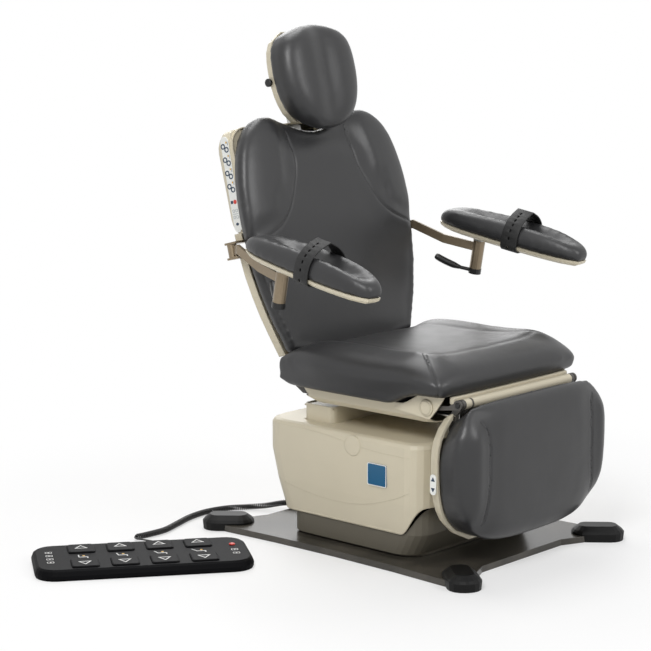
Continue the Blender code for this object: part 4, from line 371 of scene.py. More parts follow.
def printed(name, colour, roughness):
    """Screen-printed ink or film: flat colour with the slight unevenness of a printed coat."""
    found = bpy.data.materials.get(name)
    if found:
        return found
    material, tree, shader, place = start_material(name, roughness)
    paint(tree, shader, place, colour, 6.0, 0.05)
    mesh = add_node(tree, "ShaderNodeTexNoise", {"Vector": place, "Scale": per(1.5)})
    bump = add_node(tree, "ShaderNodeBump", {"Height": mesh.outputs["Fac"], "Strength": 0.1,
                                             "Distance": 0.05 * MM})
    tree.links.new(bump.outputs["Normal"], shader.inputs["Normal"])
    return material


def key_film(context):
    """Polycarbonate film printed on its back: pale and smooth, with a clear highlight."""
    return printed("polycarbonate_film_printed", tint(context, "film"), 0.32)


def tray_finish(context, hand):
    """The pad tray's moulded rim, even and satin, above its turned steel stem, which mirrors the room."""
    material, tree, shader, place = start_material("tray_abs_and_turned_stem_" + hand, 0.38)
    joint = JOINTS["pad_swivel_" + hand]
    axis = Vector(joint["axis"])
    height = add_node(tree, "ShaderNodeVectorMath", {0: place, 1: axis}, operation="DOT_PRODUCT")
    stem_top = 0.0125
    level = axis.dot(Vector(joint["pos_m"])) + stem_top
    above = add_node(tree, "ShaderNodeMath", {0: height.outputs["Value"], 1: level}, operation="GREATER_THAN")
    finish = add_node(tree, "ShaderNodeMix", {MIX_SHARE: above.outputs["Value"],
                                              MIX_FIRST: (*tint(context, "steel"), 1.0),
                                              MIX_SECOND: (*tint(context, "beige"), 1.0)}, data_type="RGBA")
    tree.links.new(finish.outputs[MIX_RESULT], shader.inputs["Base Color"])
    metal = add_node(tree, "ShaderNodeMath", {0: 1.0, 1: above.outputs["Value"]}, operation="SUBTRACT")
    tree.links.new(metal.outputs["Value"], shader.inputs["Metallic"])
    grain = add_node(tree, "ShaderNodeTexNoise", {"Vector": place, "Scale": per(1.6)})
    bump = add_node(tree, "ShaderNodeBump", {"Height": grain.outputs["Fac"], "Strength": 0.15,
                                             "Distance": 0.1 * MM})
    tree.links.new(bump.outputs["Normal"], shader.inputs["Normal"])
    return material


def dress(material, *names):
    for name in names:
        mesh = NODES[name].data
        mesh.materials.clear()
        mesh.materials.append(material)


# Mesh tools

def new_piece(name, shape, body, material, smooth=True):
    """Make a bmesh into a piece that rides on a body."""
    mesh = mesh_of(shape, name)
    piece = bpy.data.objects.new(name, mesh)
    bpy.context.scene.collection.objects.link(piece)
    mesh.materials.clear()
    mesh.materials.append(material)
    if smooth:
        mesh.shade_smooth()
        mesh.set_sharp_from_angle(angle=SHARP_ANGLE)
    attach(piece, body)
    return piece


def mesh_of(shape, name):
    bmesh.ops.recalc_face_normals(shape, faces=shape.faces)
    mesh = bpy.data.meshes.new(name)
    shape.to_mesh(mesh)
    shape.free()
    return mesh


def evaluated_mesh(piece):
    graph = bpy.context.evaluated_depsgraph_get()
    return bpy.data.meshes.new_from_object(piece.evaluated_get(graph))


def apply_changes(piece):
    """Give a piece the mesh that its modifiers make of it."""
    mesh = evaluated_mesh(piece)
    piece.modifiers.clear()
    piece.data = mesh
    return mesh


def coordinates(mesh):
    flat = np.zeros(3 * len(mesh.vertices))
    mesh.vertices.foreach_get("co", flat)
    return flat.reshape(-1, 3)


def surface_of(mesh):
    return BVHTree.FromPolygons([v.co for v in mesh.vertices], [p.vertices for p in mesh.polygons])


def node_surface(name):
    return surface_of(NODES[name].data)


def smooth_line(guide, step):
    """Points an even step apart on a smooth curve through the guide points."""
    guide = [Vector(point) for point in guide]
    fine = []
    pieces = 24
    for index in range(len(guide) - 1):
        before = guide[max(index - 1, 0)]
        left, right = guide[index], guide[index + 1]
        after = guide[min(index + 2, len(guide) - 1)]
        for part in range(pieces):
            s = part / pieces
            fine.append(0.5 * (2.0 * left + (right - before) * s
                               + (2.0 * before - 5.0 * left + 4.0 * right - after) * s ** 2
                               + (3.0 * left - before - 3.0 * right + after) * s ** 3))
    fine.append(guide[-1])
    spans = np.array([(b - a).length for a, b in zip(fine, fine[1:])])
    lengths = np.concatenate([[0.0], np.cumsum(spans)])
    count = max(int(round(lengths[-1] / step)), 2)
    goals = np.linspace(0.0, lengths[-1], count + 1)
    table = np.array([list(point) for point in fine])
    columns = [np.interp(goals, lengths, table[:, axis]) for axis in range(3)]
    return [Vector(point) for point in zip(*columns)]


def bridge(shape, low, high):
    """Add the faces between two rings of points."""
    for step in range(len(low)):
        after = (step + 1) % len(low)
        shape.faces.new((low[step], low[after], high[after], high[step]))


def tube_mesh(shape, points, radii, sides=8):
    """Add a round bar with closed ends along some points, with one radius or one for each point."""
    rings = []
    across = None
    radii = radii if isinstance(radii, list) else [radii] * len(points)
    for index, (place, radius) in enumerate(zip(points, radii)):
        along = (points[min(index + 1, len(points) - 1)] - points[max(index - 1, 0)]).normalized()
        across = along.orthogonal() if across is None else across - along * across.dot(along)
        across.normalize()
        beside = along.cross(across)
        ring = []
        for step in range(sides):
            angle = 2.0 * math.pi * step / sides
            around = across * math.cos(angle) + beside * math.sin(angle)
            ring.append(shape.verts.new(place + radius * around))
        rings.append(ring)
    for low, high in zip(rings, rings[1:]):
        bridge(shape, low, high)
    shape.faces.new(rings[0])
    shape.faces.new(rings[-1])


def slab(shape, outline, low, high, place):
    """Add a flat slab with an outline in its own plane, between two heights, set by a matrix."""
    rings = [[shape.verts.new(place @ Vector((x, y, level))) for x, y in outline] for level in (low, high)]
    bridge(shape, *rings)
    shape.faces.new(rings[0])
    shape.faces.new(rings[1])


def frame_slab(shape, outer, inner, low, high, place):
    """Add a flat ring between two outlines of equal counts."""
    loops = [[shape.verts.new(place @ Vector((x, y, level))) for x, y in line]
             for line, level in ((outer, low), (outer, high), (inner, high), (inner, low))]
    for first, second in zip(loops, loops[1:] + loops[:1]):
        bridge(shape, first, second)


def sweep(first, span, steps):
    """Directions in even steps from a first angle over a span, both in degrees."""
    angles = [math.radians(first + span * step / steps) for step in range(steps + 1)]
    return [(math.cos(angle), math.sin(angle)) for angle in angles]


def oval(half_x, half_y, count=28, centre=(0.0, 0.0)):
    angles = [2.0 * math.pi * step / count for step in range(count)]
    return [(centre[0] + half_x * math.cos(a), centre[1] + half_y * math.sin(a)) for a in angles]


def dome(shape, rings, stand, count=40):
    """Add a shallow round boss from (radius, height) pairs, the last of them for its middle."""
    made = [[shape.verts.new(stand @ Vector((x, y, height))) for x, y in oval(radius, radius, count)]
            for radius, height in rings[:-1]]
    crown = shape.verts.new(stand @ Vector((0.0, 0.0, rings[-1][1])))
    for low, high in zip(made, made[1:]):
        bridge(shape, low, high)
    for step in range(count):
        shape.faces.new((made[-1][step], made[-1][(step + 1) % count], crown))
    shape.faces.new(made[0])


def round_box(half_x, half_y, radius, centre=(0.0, 0.0), steps=5):
    outline = []
    for turn, (sx, sy) in enumerate(((1, -1), (1, 1), (-1, 1), (-1, -1))):
        for step in range(steps + 1):
            angle = math.radians(90.0 * (turn - 1) + 90.0 * step / steps)
            outline.append((centre[0] + sx * (half_x - radius) + radius * math.cos(angle),
                            centre[1] + sy * (half_y - radius) + radius * math.sin(angle)))
    return outline


def standing(place, across, up):
    """Matrix of a flat thing at a place: its own x, its own y, and its face along their cross."""
    x = Vector(across).normalized()
    y = Vector(up)
    y = (y - x * y.dot(x)).normalized()
    z = x.cross(y)
    matrix = Matrix((x, y, z)).transposed().to_4x4()
    return Matrix.Translation(place) @ matrix


# Upholstery

def spread(mesh, values, rounds, share=0.5):
    """Move each point's value towards the mean of its neighbours' a few times."""
    edges = np.zeros(2 * len(mesh.edges), dtype=np.int64)
    mesh.edges.foreach_get("vertices", edges)
    left, right = edges.reshape(-1, 2).T
    counts = np.maximum(np.bincount(edges, minlength=len(values)), 1).astype(float)
    columns = values.reshape(len(values), -1).T
    for _ in range(rounds):
        columns = [column + share * ((np.bincount(left, column[right], len(column))
                                      + np.bincount(right, column[left], len(column))) / counts - column)
                   for column in columns]
    return np.array(columns).T.reshape(values.shape)


def evened(mesh, points):
    """Take the small waves out of a form and keep its size, by smoothing forwards and then back."""
    for _ in range(EVEN_ROUNDS):
        points = spread(mesh, spread(mesh, points, 1, EVEN_FORWARDS), 1, EVEN_BACK)
    return points


def refitted(before, after, rear):
    """Stretch points that smoothing drew together back to the box they had, in the pad's own directions."""
    turn = np.array(standing((0.0, 0.0, 0.0), (1.0, 0.0, 0.0), rear).to_3x3())
    before, after = before @ turn, after @ turn
    low, high = before.min(axis=0), before.max(axis=0)
    least, most = after.min(axis=0), after.max(axis=0)
    return (low + (after - least) * (high - low) / (most - least)) @ turn.T


def refill(mesh, surface, plump, limit, share, rounds):
    """Push a pad out to the form it came from, and by a little more where it may be plump.

    The push is limited and spread over the neighbours, so the sharp rims and the flats of the plain
    form don't come back with it.
    """
    for _ in range(rounds):
        points, normals = coordinates(mesh), point_normals(mesh)
        lack = np.zeros(len(points))
        for index, point in enumerate(points):
            place, normal = surface.find_nearest(point)[:2]
            lack[index] = (place - Vector(point)).dot(normal)
        lack = np.clip(lack + plump, 0.0, limit)
        set_points(mesh, points + normals * (share * spread(mesh, lack, PUSH_ROUNDS))[:, None])


def set_points(mesh, points):
    mesh.vertices.foreach_set("co", points.astype(np.float32).ravel())
    mesh.update()


def point_normals(mesh):
    flat = np.zeros(3 * len(mesh.vertices))
    mesh.vertex_normals.foreach_get("vector", flat)
    return flat.reshape(-1, 3)


def settle(surface, guide, step=0.004):
    """Lay a guide line on a surface."""
    return [surface.find_nearest(point)[0] for point in smooth_line(guide, step)]


def reach_to(points, lines, fade=1):
    """Distance of each point to the nearest of some lines, and how far that place is from a line's end.

    The second value grows from 0 at an end to 1 after as many points as fade says.
    """
    places = [(place, min(min(index, len(line) - 1 - index) / fade, 1.0))
              for line in lines for index, place in enumerate(line)]
    tree = KDTree(len(places))
    for index, (place, _) in enumerate(places):
        tree.insert(place, index)
    tree.balance()
    found = [tree.find(point) for point in points]
    return np.array([hit[2] for hit in found]), np.array([places[hit[1]][1] for hit in found])


def swollen(piece, held):
    """Run the cover as cloth with air under it, and return where its points end."""
    scene = bpy.context.scene
    group = piece.vertex_groups.new(name="held")
    group.add([int(index) for index in np.nonzero(held)[0]], 1.0, "REPLACE")
    cloth = piece.modifiers.new("swell", "CLOTH")
    settings = cloth.settings
    settings.quality = 4
    settings.mass = 0.25
    settings.tension_stiffness = 12.0
    settings.compression_stiffness = 12.0
    settings.shear_stiffness = 5.0
    settings.bending_stiffness = 4.0
    settings.use_pressure = True
    settings.uniform_pressure_force = 4.0
    settings.effector_weights.gravity = 0.0
    settings.vertex_group_mass = "held"
    cloth.collision_settings.use_collision = False
    cloth.point_cache.frame_start = 1
    cloth.point_cache.frame_end = SWELL_FRAMES
    for step in range(1, SWELL_FRAMES + 1):
        scene.frame_set(step)
    mesh = evaluated_mesh(piece)
    points = coordinates(mesh)
    bpy.data.meshes.remove(mesh)
    piece.modifiers.clear()
    piece.vertex_groups.clear()
    scene.frame_set(1)
    return points


def stitch_row(name, line, normals, sizes, body, material):
    """Thread stitches along a seam, each half sunk into the cover."""
    shape = bmesh.new()
    radius = 0.16 * sizes.stitch
    for index in range(len(line) - 1):
        start, end = line[index], line[index + 1]
        along = (end - start).normalized() * (0.5 * sizes.stitch)
        middle = 0.5 * (start + end) - normals[index] * (0.3 * radius)
        tube_mesh(shape, [middle - along, middle + along], radius, 6)
    return new_piece(name, shape, body, material)


def sew(context, piece, body, sewn, creased):
    """Sink the seams and creases into a cover, and lay a row of stitches along each seam."""
    sizes = context.scene.chair_sizes
    mesh = piece.data
    points = coordinates(mesh)
    normals = point_normals(mesh)
    surface = surface_of(mesh)
    for guides, depth, width in ((sewn, sizes.seam_depth, sizes.seam_width),
                                 (creased, 0.8 * sizes.seam_depth, 2.5 * sizes.seam_width)):
        if guides:
            away, ease = reach_to(points, [settle(surface, guide, 0.002) for guide in guides], 14)
            points = points - normals * (depth * ease * np.exp(-(away / width) ** 2))[:, None]
    set_points(mesh, points)
    mesh.shade_smooth()
    surface = surface_of(mesh)
    thread = printed("polyester_thread_spun", tint(context, "thread"), 0.6)
    for index, guide in enumerate(sewn):
        found = [surface.find_nearest(point) for point in smooth_line(guide, 1.5 * sizes.stitch)]
        stitch_row(piece.name + "_stitches_" + str(index + 1), [hit[0] for hit in found],
                   [hit[1] for hit in found], sizes, body, thread)


def upholster(context, node, name, body, rear, sewn, creased=(), form=None, softness=16,
              filling=3, drawn=False, roundness=0):
    """Turn a plain pad into sewn upholstery: swollen panels, hollow seams and rows of stitches.

    rear is the direction that the pad rests on, sewn and creased are guide lines near its surface,
    form is a last change of shape, given points and normals, softness is how far the plain pad is
    smoothed, filling is how often it is pushed out again, drawn is whether the sewn lines hold the
    cover down while it swells, and roundness is how far the rims are rounded at the end.
    """
    sizes = context.scene.chair_sizes
    raw = bmesh.new()
    raw.from_mesh(NODES[node].data)
    bmesh.ops.remove_doubles(raw, verts=raw.verts, dist=0.01 * MM)
    piece = new_piece(name, raw, body, charcoal_vinyl(context))
    remesh = piece.modifiers.new("even", "REMESH")
    remesh.mode = "VOXEL"
    remesh.voxel_size = sizes.voxel
    mesh = apply_changes(piece)
    plain = node_surface(node)
    before = coordinates(mesh)
    set_points(mesh, refitted(before, spread(mesh, before, softness), rear))
    facing = -(point_normals(mesh) @ np.array(rear))
    front = spread(mesh, unit(facing + FRONT_TURN), FRONT_ROUNDS)
    plump = sizes.plump * front
    refill(mesh, plain, plump, sizes.push, 1.0, filling)
    start = coordinates(mesh)
    flow = near = np.zeros(len(start))
    held = front < HELD_SHARE
    lines = [settle(surface_of(mesh), guide) for guide in (*sewn, *creased)]
    if lines:
        away, _ = reach_to(start, lines)
        flow = np.exp(-(away / sizes.flow) ** 2) * unit(facing)
        start = start + flow[:, None] * (spread(mesh, start, FLOW_ROUNDS) - start)
        set_points(mesh, start)
    if drawn:
        away, _ = reach_to(start, lines[:len(sewn)])
        held |= away < sizes.voxel
        near = np.exp(-(away / sizes.seam_reach) ** 2)
    points = start - point_normals(mesh) * (sizes.slack * front)[:, None]
    set_points(mesh, points)
    moved = swollen(piece, held) - points
    length = np.linalg.norm(moved, axis=1, keepdims=True)
    points = points + moved * np.minimum(1.0, sizes.swell / np.maximum(length, 1e-9))
    # Only the broad part of the swelling is kept, since the cloth's small pinches don't show on real foam
    set_points(mesh, start + spread(mesh, points - start, SWELL_ROUNDS))
    refill(mesh, plain, plump, sizes.push, (1.0 - near) * (1.0 - flow), filling - 1)
    if form:
        points = form(coordinates(mesh), point_normals(mesh))
        set_points(mesh, points + (drawn * flow)[:, None] * (spread(mesh, points, FORM_ROUNDS) - points))
    points = coordinates(mesh)
    rims = front * (1.0 - unit(facing) ** 4) if lines else front
    rounder = points + rims[:, None] * (spread(mesh, points, roundness) - points)
    set_points(mesh, evened(mesh, refitted(points, rounder, rear)))
    smooth = piece.modifiers.new("smooth", "SUBSURF")
    smooth.levels = 1
    smooth.render_levels = 1
    apply_changes(piece)
    sew(context, piece, body, sewn, creased)
    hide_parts(node)


def back_point(x, up, forward):
    return BACK_AXIS + Vector((x, 0.0, 0.0)) + BACK_UP * up + BACK_FORWARD * forward


def mirrored(guide):
    return [(-x, y, z) for x, y, z in guide]


def forearm_direction(hand, axis):
    """Direction from the stem to the hand end of a forearm pad."""
    points = coordinates(NODES["arm_pad_" + hand].data)
    middle = Vector(points.mean(axis=0)) - Vector(JOINTS["pad_swivel_" + hand]["pos_m"])
    return (middle - axis * middle.dot(axis)).normalized()


class CHAIR_OT_stage(bpy.types.Operator):
    """Set up the floor, the lights, the background and the photograph's camera"""
    bl_idname = "chair.stage"
    bl_label = "Stage"

    def execute(self, context):
        scene = context.scene
        scene.view_settings.view_transform = "Standard"
        camera = bpy.data.cameras.new("photo_camera")
        camera.lens = CAMERA_LENS
        camera.sensor_width = SENSOR_WIDTH
        camera.clip_end = 200.0
        holder = bpy.data.objects.new("photo_camera", camera)
        holder.location = CAMERA_PLACE
        holder.rotation_euler = Vector(CAMERA_LOOK).to_track_quat("-Z", "Y").to_euler()
        scene.collection.objects.link(holder)
        scene.camera = holder
        self.make_floor(scene)
        self.make_sky(scene)
        lamps = (
            ("key_softbox", (-3.6, -1.6, 3.6), 1.6, 118.0),
            ("front_softbox", (0.4, -4.6, 3.2), 2.0, 78.0),
            ("top_softbox", (0.6, 1.2, 4.0), 2.0, 62.0),
            ("rear_softbox", (2.8, 3.2, 2.8), 2.4, 60.0),
        )
        for name, place, width, power in lamps:
            lamp = bpy.data.lights.new(name, "AREA")
            lamp.shape = "SQUARE"
            lamp.size = width
            lamp.energy = power
            holder = bpy.data.objects.new(name, lamp)
            holder.location = place
            aim = Vector((0.0, 0.0, 0.6)) - Vector(place)
            holder.rotation_euler = aim.to_track_quat("-Z", "Y").to_euler()
            scene.collection.objects.link(holder)
        return {"FINISHED"}

    def looked_at(self, tree):
        """A share that is 1 where the stage is looked at, also in a mirror or through glass."""
        path = add_node(tree, "ShaderNodeLightPath")
        seen = path.outputs["Is Camera Ray"]
        for ray in ("Is Glossy Ray", "Is Transmission Ray"):
            seen = add_node(tree, "ShaderNodeMath", {0: seen, 1: path.outputs[ray]},
                            operation="MAXIMUM").outputs["Value"]
        return seen

    def make_floor(self, scene):
        """Painted studio floor, which fades to plain white far from the chair."""
        shape = bmesh.new()
        bmesh.ops.create_circle(shape, cap_ends=True, segments=96, radius=60.0)
        mesh = bpy.data.meshes.new("studio_floor")
        shape.to_mesh(mesh)
        shape.free()
        floor = bpy.data.objects.new("studio_floor", mesh)
        floor.location = (0.0, 0.0, -0.5 * MM)
        scene.collection.objects.link(floor)
        material, tree, shader, place = start_material("studio_floor_paint", 0.7)
        shader.inputs["Base Color"].default_value = (*linear("f6f6f6"), 1.0)
        shader.inputs["Specular IOR Level"].default_value = 0.1
        away = add_node(tree, "ShaderNodeVectorMath", {0: place}, operation="LENGTH")
        fade = add_node(tree, "ShaderNodeMapRange",
                        {"Value": away.outputs["Value"], "From Min": 0.7, "From Max": 1.7, "To Min": 0.45},
                        interpolation_type="SMOOTHSTEP")
        share = add_node(tree, "ShaderNodeMath", {0: self.looked_at(tree), 1: fade.outputs["Result"]},
                         operation="MULTIPLY")
        white = add_node(tree, "ShaderNodeEmission", {"Color": WHITE, "Strength": 1.0})
        mixed = add_node(tree, "ShaderNodeMixShader", {0: share.outputs["Value"], 1: shader.outputs["BSDF"],
                                                       2: white.outputs["Emission"]})
        tree.links.new(mixed.outputs["Shader"], tree.nodes["Material Output"].inputs["Surface"])
        mesh.materials.append(material)

    def make_sky(self, scene):
        world = bpy.data.worlds.new("studio")
        world.use_nodes = True
        tree = world.node_tree
        fill = tree.nodes["Background"]
        fill.inputs["Color"].default_value = WHITE
        fill.inputs["Strength"].default_value = 0.24
        white = add_node(tree, "ShaderNodeBackground", {"Color": WHITE, "Strength": 1.0})
        mixed = add_node(tree, "ShaderNodeMixShader", {0: self.looked_at(tree), 1: fill.outputs["Background"],
                                                       2: white.outputs["Background"]})
        tree.links.new(mixed.outputs["Shader"], tree.nodes["World Output"].inputs["Surface"])
        scene.world = world


class CHAIR_OT_cord(bpy.types.Operator):
    """Wind the curly cord from the base to the foot control"""
    bl_idname = "chair.cord"
    bl_label = "Curly cord"

    def execute(self, context):
        sizes = context.scene.chair_sizes
        turn = Matrix.Rotation(PEDAL_TURN, 4, "Z")
        tail = turn.to_3x3() @ Vector((0.0, 1.0, 0.0))
        entry = Matrix.Translation(PEDAL_PLACE) @ turn @ Vector((PEDAL_ENTRY, PEDAL_REAR, 0.45 * PEDAL_TOP))
        stop = entry + tail * (BOOT_LENGTH + 3.0 * CORD_GAP)
        curls = self.curls(sizes)
        out = Vector((0.0, 1.0, 0.0))
        lead_out = [Vector(ROUTE[0]) - out * (CORD_LEAD - 2.0 * CORD_GAP),
                    Vector(ROUTE[0]) - out * (0.5 * CORD_LEAD)]
        run_in = stop + tail * (4.0 * sizes.wire)
        sway = Vector((-CORD_SWAY, CORD_SWAY, 0.0))
        bend = [curls[-1].lerp(run_in, 0.35) + sway, curls[-1].lerp(run_in, 0.75) + 0.8 * sway]
        lead_in = smooth_line([curls[-1], *bend, stop + tail * (2.7 * sizes.wire),
                               stop + tail * (1.2 * sizes.wire), stop], 0.004)[1:]
        points = lead_out + curls + lead_in
        curve = bpy.data.curves.new("curly_cord", "CURVE")
        curve.dimensions = "3D"
        curve.bevel_depth = 0.5 * sizes.wire
        curve.bevel_resolution = 3
        curve.use_fill_caps = True
        spline = curve.splines.new("POLY")
        spline.points.add(len(points) - 1)
        for point, place in zip(spline.points, points):
            point.co = (*place, 1.0)
        cord = bpy.data.objects.new("curly_cord", curve)
        context.scene.collection.objects.link(cord)
        curve.materials.append(moulded("black_polyurethane_extruded", tint(context, "black"), 0.34, 2.0, 0.06,
                                       edge_mm=0.5, change=0.1))
        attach(cord, "base")
        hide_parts("foot_cord")
        return {"FINISHED"}

    def curls(self, sizes):
        """Helix round the route, with its radius growing from nothing at both ends."""
        steps = 14
        count = sizes.curls * steps + 1
        fine = smooth_line(ROUTE, 0.002)
        table = np.array([list(point) for point in fine])
        lengths = np.concatenate([[0.0], np.cumsum(np.linalg.norm(np.diff(table, axis=0), axis=1))])
        goals = np.linspace(0.0, lengths[-1], count)
        middle = [Vector(p) for p in zip(*[np.interp(goals, lengths, table[:, a]) for a in range(3)])]
        radius = 0.5 * (sizes.coil - sizes.wire)
        across = UP.copy()
        result = []
        for step, place in enumerate(middle):
            along = (middle[min(step + 1, count - 1)] - middle[max(step - 1, 0)]).normalized()
            across = (across - along * across.dot(along)).normalized()
            share = min(min(step, count - 1 - step) / (1.5 * steps), 1.0)
            angle = 2.0 * math.pi * step / steps
            around = across * math.cos(angle) + along.cross(across) * math.sin(angle)
            result.append(place + radius * eased(share) * around)
        return result


class CHAIR_OT_seat_pad(bpy.types.Operator):
    """Upholster the seat"""
    bl_idname = "chair.seat_pad"
    bl_label = "Seat pad"

    def execute(self, context):
        low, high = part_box("seat_cushion")
        top = high.z + 0.02
        corner = [(0.236, -0.236, top), (0.262, -0.262, top), (0.281, -0.294, 0.572), (0.297, -0.324, 0.546),
                  (0.304, -0.341, 0.522), (0.299, -0.337, 0.492), (0.286, -0.324, 0.470)]
        panel = [(-0.186, 0.175, top), (-0.188, 0.0, top), (-0.196, -0.14, top), (-0.214, -0.215, top),
                 (-0.236, -0.246, top), (-0.180, -0.262, top), (0.0, -0.264, top), (0.180, -0.262, top),
                 (0.236, -0.246, top), (0.214, -0.215, top), (0.196, -0.14, top), (0.188, 0.0, top),
                 (0.186, 0.175, top)]

        def rolled(points, normals):
            """Full rolled sides, and a lip that rolls a little less so that it clears the raised legrest."""
            level = (points[:, 2] - low.z) / (high.z - low.z)
            reach = np.exp(-((level - 0.62) / 0.29) ** 2) * unit((0.16 - points[:, 1]) / 0.08)
            side_roll, lip_roll = 0.012, 0.002
            return points + normals * reach[:, None] * (side_roll, lip_roll, 0.0)

        upholster(context, "seat_cushion", "seat_pad", "seat", (0.0, 0.0, -1.0),
                  [corner, mirrored(corner)], [panel], rolled, softness=70, filling=2, roundness=40)
        return {"FINISHED"}


class CHAIR_OT_back_pad(bpy.types.Operator):
    """Upholster the back"""
    bl_idname = "chair.back_pad"
    bl_label = "Back pad"

    def execute(self, context):
        seam = [(0.345, 0.366), (0.298, 0.379), (0.241, 0.402), (0.203, 0.432), (0.178, 0.4645),
                (0.152, 0.512), (0.132, 0.560), (0.124, 0.620), (0.124, 0.670), (0.126, 0.700)]
        seam_across, seam_up = np.array(seam).T
        guides = [[tuple(back_point(side * x, up, 0.07)) for x, up in seam] for side in (1.0, -1.0)]

        def filled(points, normals):
            """A low broad swell under the small of the patient's back, and a full panel between the wings."""
            height = (points - np.array(BACK_AXIS)) @ np.array(BACK_UP)
            facing = unit(normals @ np.array(BACK_FORWARD))
            rise = 0.009 * np.exp(-(points[:, 0] / 0.17) ** 4 - ((height - 0.215) / 0.115) ** 2)
            edge = np.interp(height, seam_up, seam_across)
            share = unit((edge + 0.060 - np.abs(points[:, 0])) / 0.052)
            share *= unit((height - 0.24) / 0.20) * unit((0.655 - height) / 0.07)
            rise = rise + 0.015 * eased(share)
            return points + np.outer(rise * facing, np.array(BACK_FORWARD))

        upholster(context, "back_cushion", "back_pad", "back", tuple(-BACK_FORWARD), guides, [], filled,
                  softness=30, drawn=True, roundness=25)
        return {"FINISHED"}


class CHAIR_OT_head_pad(bpy.types.Operator):
    """Upholster the headrest"""
    bl_idname = "chair.head_pad"
    bl_label = "Headrest pad"

    def execute(self, context):
        def hollow(points, normals):
            """A neck-wide hollow between two soft ridges, and a chin that hangs over the back."""
            rest = points - np.array(BACK_AXIS)
            height = rest @ np.array(BACK_UP)
            facing = unit(normals @ np.array(BACK_FORWARD))
            dip = 0.007 * np.exp(-(points[:, 0] / 0.038) ** 2) * unit((height - 0.69) / 0.04)
            lead = unit((rest @ np.array(BACK_FORWARD) - 0.058) / 0.03)
            drop = 0.021 * lead * unit((0.79 - height) / 0.10) ** 2
            return points - np.outer(dip * facing, np.array(BACK_FORWARD)) - np.outer(drop, np.array(BACK_UP))

        upholster(context, "headrest_cushion", "head_pad", "headrest", tuple(-BACK_FORWARD), [], [], hollow)
        return {"FINISHED"}


class CHAIR_OT_leg_pad(bpy.types.Operator):
    """Upholster the legrest"""
    bl_idname = "chair.leg_pad"
    bl_label = "Legrest pad"

    def execute(self, context):
        low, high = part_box("legrest_cushion")
        front = low.y - 0.02
        seam = [(0.262, front, high.z - 0.016), (0.246, front, high.z - 0.034),
                (0.234, front, high.z - 0.064), (0.230, front, high.z - 0.12),
                (0.230, front, 0.5 * (low.z + high.z)), (0.236, front, low.z + 0.13),
                (0.247, front, low.z + 0.075), (0.258, front, low.z + 0.045)]

        def rolls(points, normals):
            """A full upright roll outside each seam."""
            across, level = np.abs(points[:, 0]), points[:, 2]
            run = unit((level - low.z - 0.04) / 0.08) * unit((high.z - 0.02 - level) / 0.06)
            rise = 0.006 * np.exp(-((across - 0.279) / 0.026) ** 2) * run * unit(-normals[:, 1])
            return points - np.outer(rise, (0.0, 1.0, 0.0))

        upholster(context, "legrest_cushion", "leg_pad", "legrest", (0.0, 1.0, 0.0),
                  [seam, mirrored(seam)], [], rolls, drawn=True)
        return {"FINISHED"}


class CHAIR_OT_arm_pads(bpy.types.Operator):
    """Upholster the two forearm pads"""
    bl_idname = "chair.arm_pads"
    bl_label = "Arm pads"

    def execute(self, context):
        for _, hand in SIDES:
            joint = JOINTS["pad_swivel_" + hand]
            axis = Vector(joint["axis"])
            along = forearm_direction(hand, axis)
            across = along.cross(axis)
            start = np.array(joint["pos_m"])

            def trough(points, normals, along=along, across=across, axis=axis, start=start):
                """A forearm trough that deepens towards the hand between two flowing ridges."""
                rest = points - start
                place = rest @ np.array(along)
                beside = rest @ np.array(across)
                facing = unit(normals @ np.array(axis))
                run = unit((place + 0.06) / 0.14) * unit((0.335 - place) / 0.07)
                width = 0.028 - 0.006 * np.sin(12.0 * place)
                dip = 0.022 * run * np.exp(-(beside / width) ** 2)
                ridge = 0.008 * run * np.exp(-((np.abs(beside) - 0.043) / 0.016) ** 2)
                return points + np.outer((ridge - dip) * facing, np.array(axis))

            upholster(context, "arm_pad_" + hand, "forearm_pad_" + hand, "forearm_" + hand, tuple(-axis),
                      [], [], trough, roundness=12)
        return {"FINISHED"}


class CHAIR_OT_finishes(bpy.types.Operator):
    """Give every carried-over piece its finish"""
    bl_idname = "chair.finishes"
    bl_label = "Finishes"

    def execute(self, context):
        dress(plate_paint(context), "base_plate")
        dress(taupe_abs(context), "kick_skirt")
        dress(beige_abs(context), "base_cover", "riser_cover", "lift_shroud", "seat_shell", "pivot_cap_right",
              "pivot_cap_left", "front_crossbar", "back_shell", "headrest_shell", "legrest_shell")
        dress(black_rubber(context), "foot_cap_front_right", "foot_cap_front_left", "foot_cap_rear_right",
              "foot_cap_rear_left", "cord_gland", "cord_boot")
        dress(black_nylon(context), "head_knob", "arm_lever_right", "arm_lever_left", "lift_drive",
              "recline_drive", "leg_drive")
        dress(pedal_abs(context), "foot_control_base", "foot_control_top",
              *["foot_pad_" + str(index) for index in range(1, 9)])
        dress(ground_steel(context), "lift_sleeve", "lift_column", "tilt_shaft", "recline_shaft", "leg_shaft",
              "recline_rod", "leg_rod", "head_bar")
        dress(moulded("grey_powder_coat_on_steel", linear("4e4b47"), 0.45, 2.0, 0.1, 1.0, 0.1), "seat_frame",
              "legrest_frame")
        dress(bronze_paint(context), "arm_bar_right", "arm_bar_left", "back_frame")
        for _, hand in SIDES:
            dress(tray_finish(context, hand), "pad_tray_" + hand)
        dress(key_film(context), "legrest_keys")
        return {"FINISHED"}


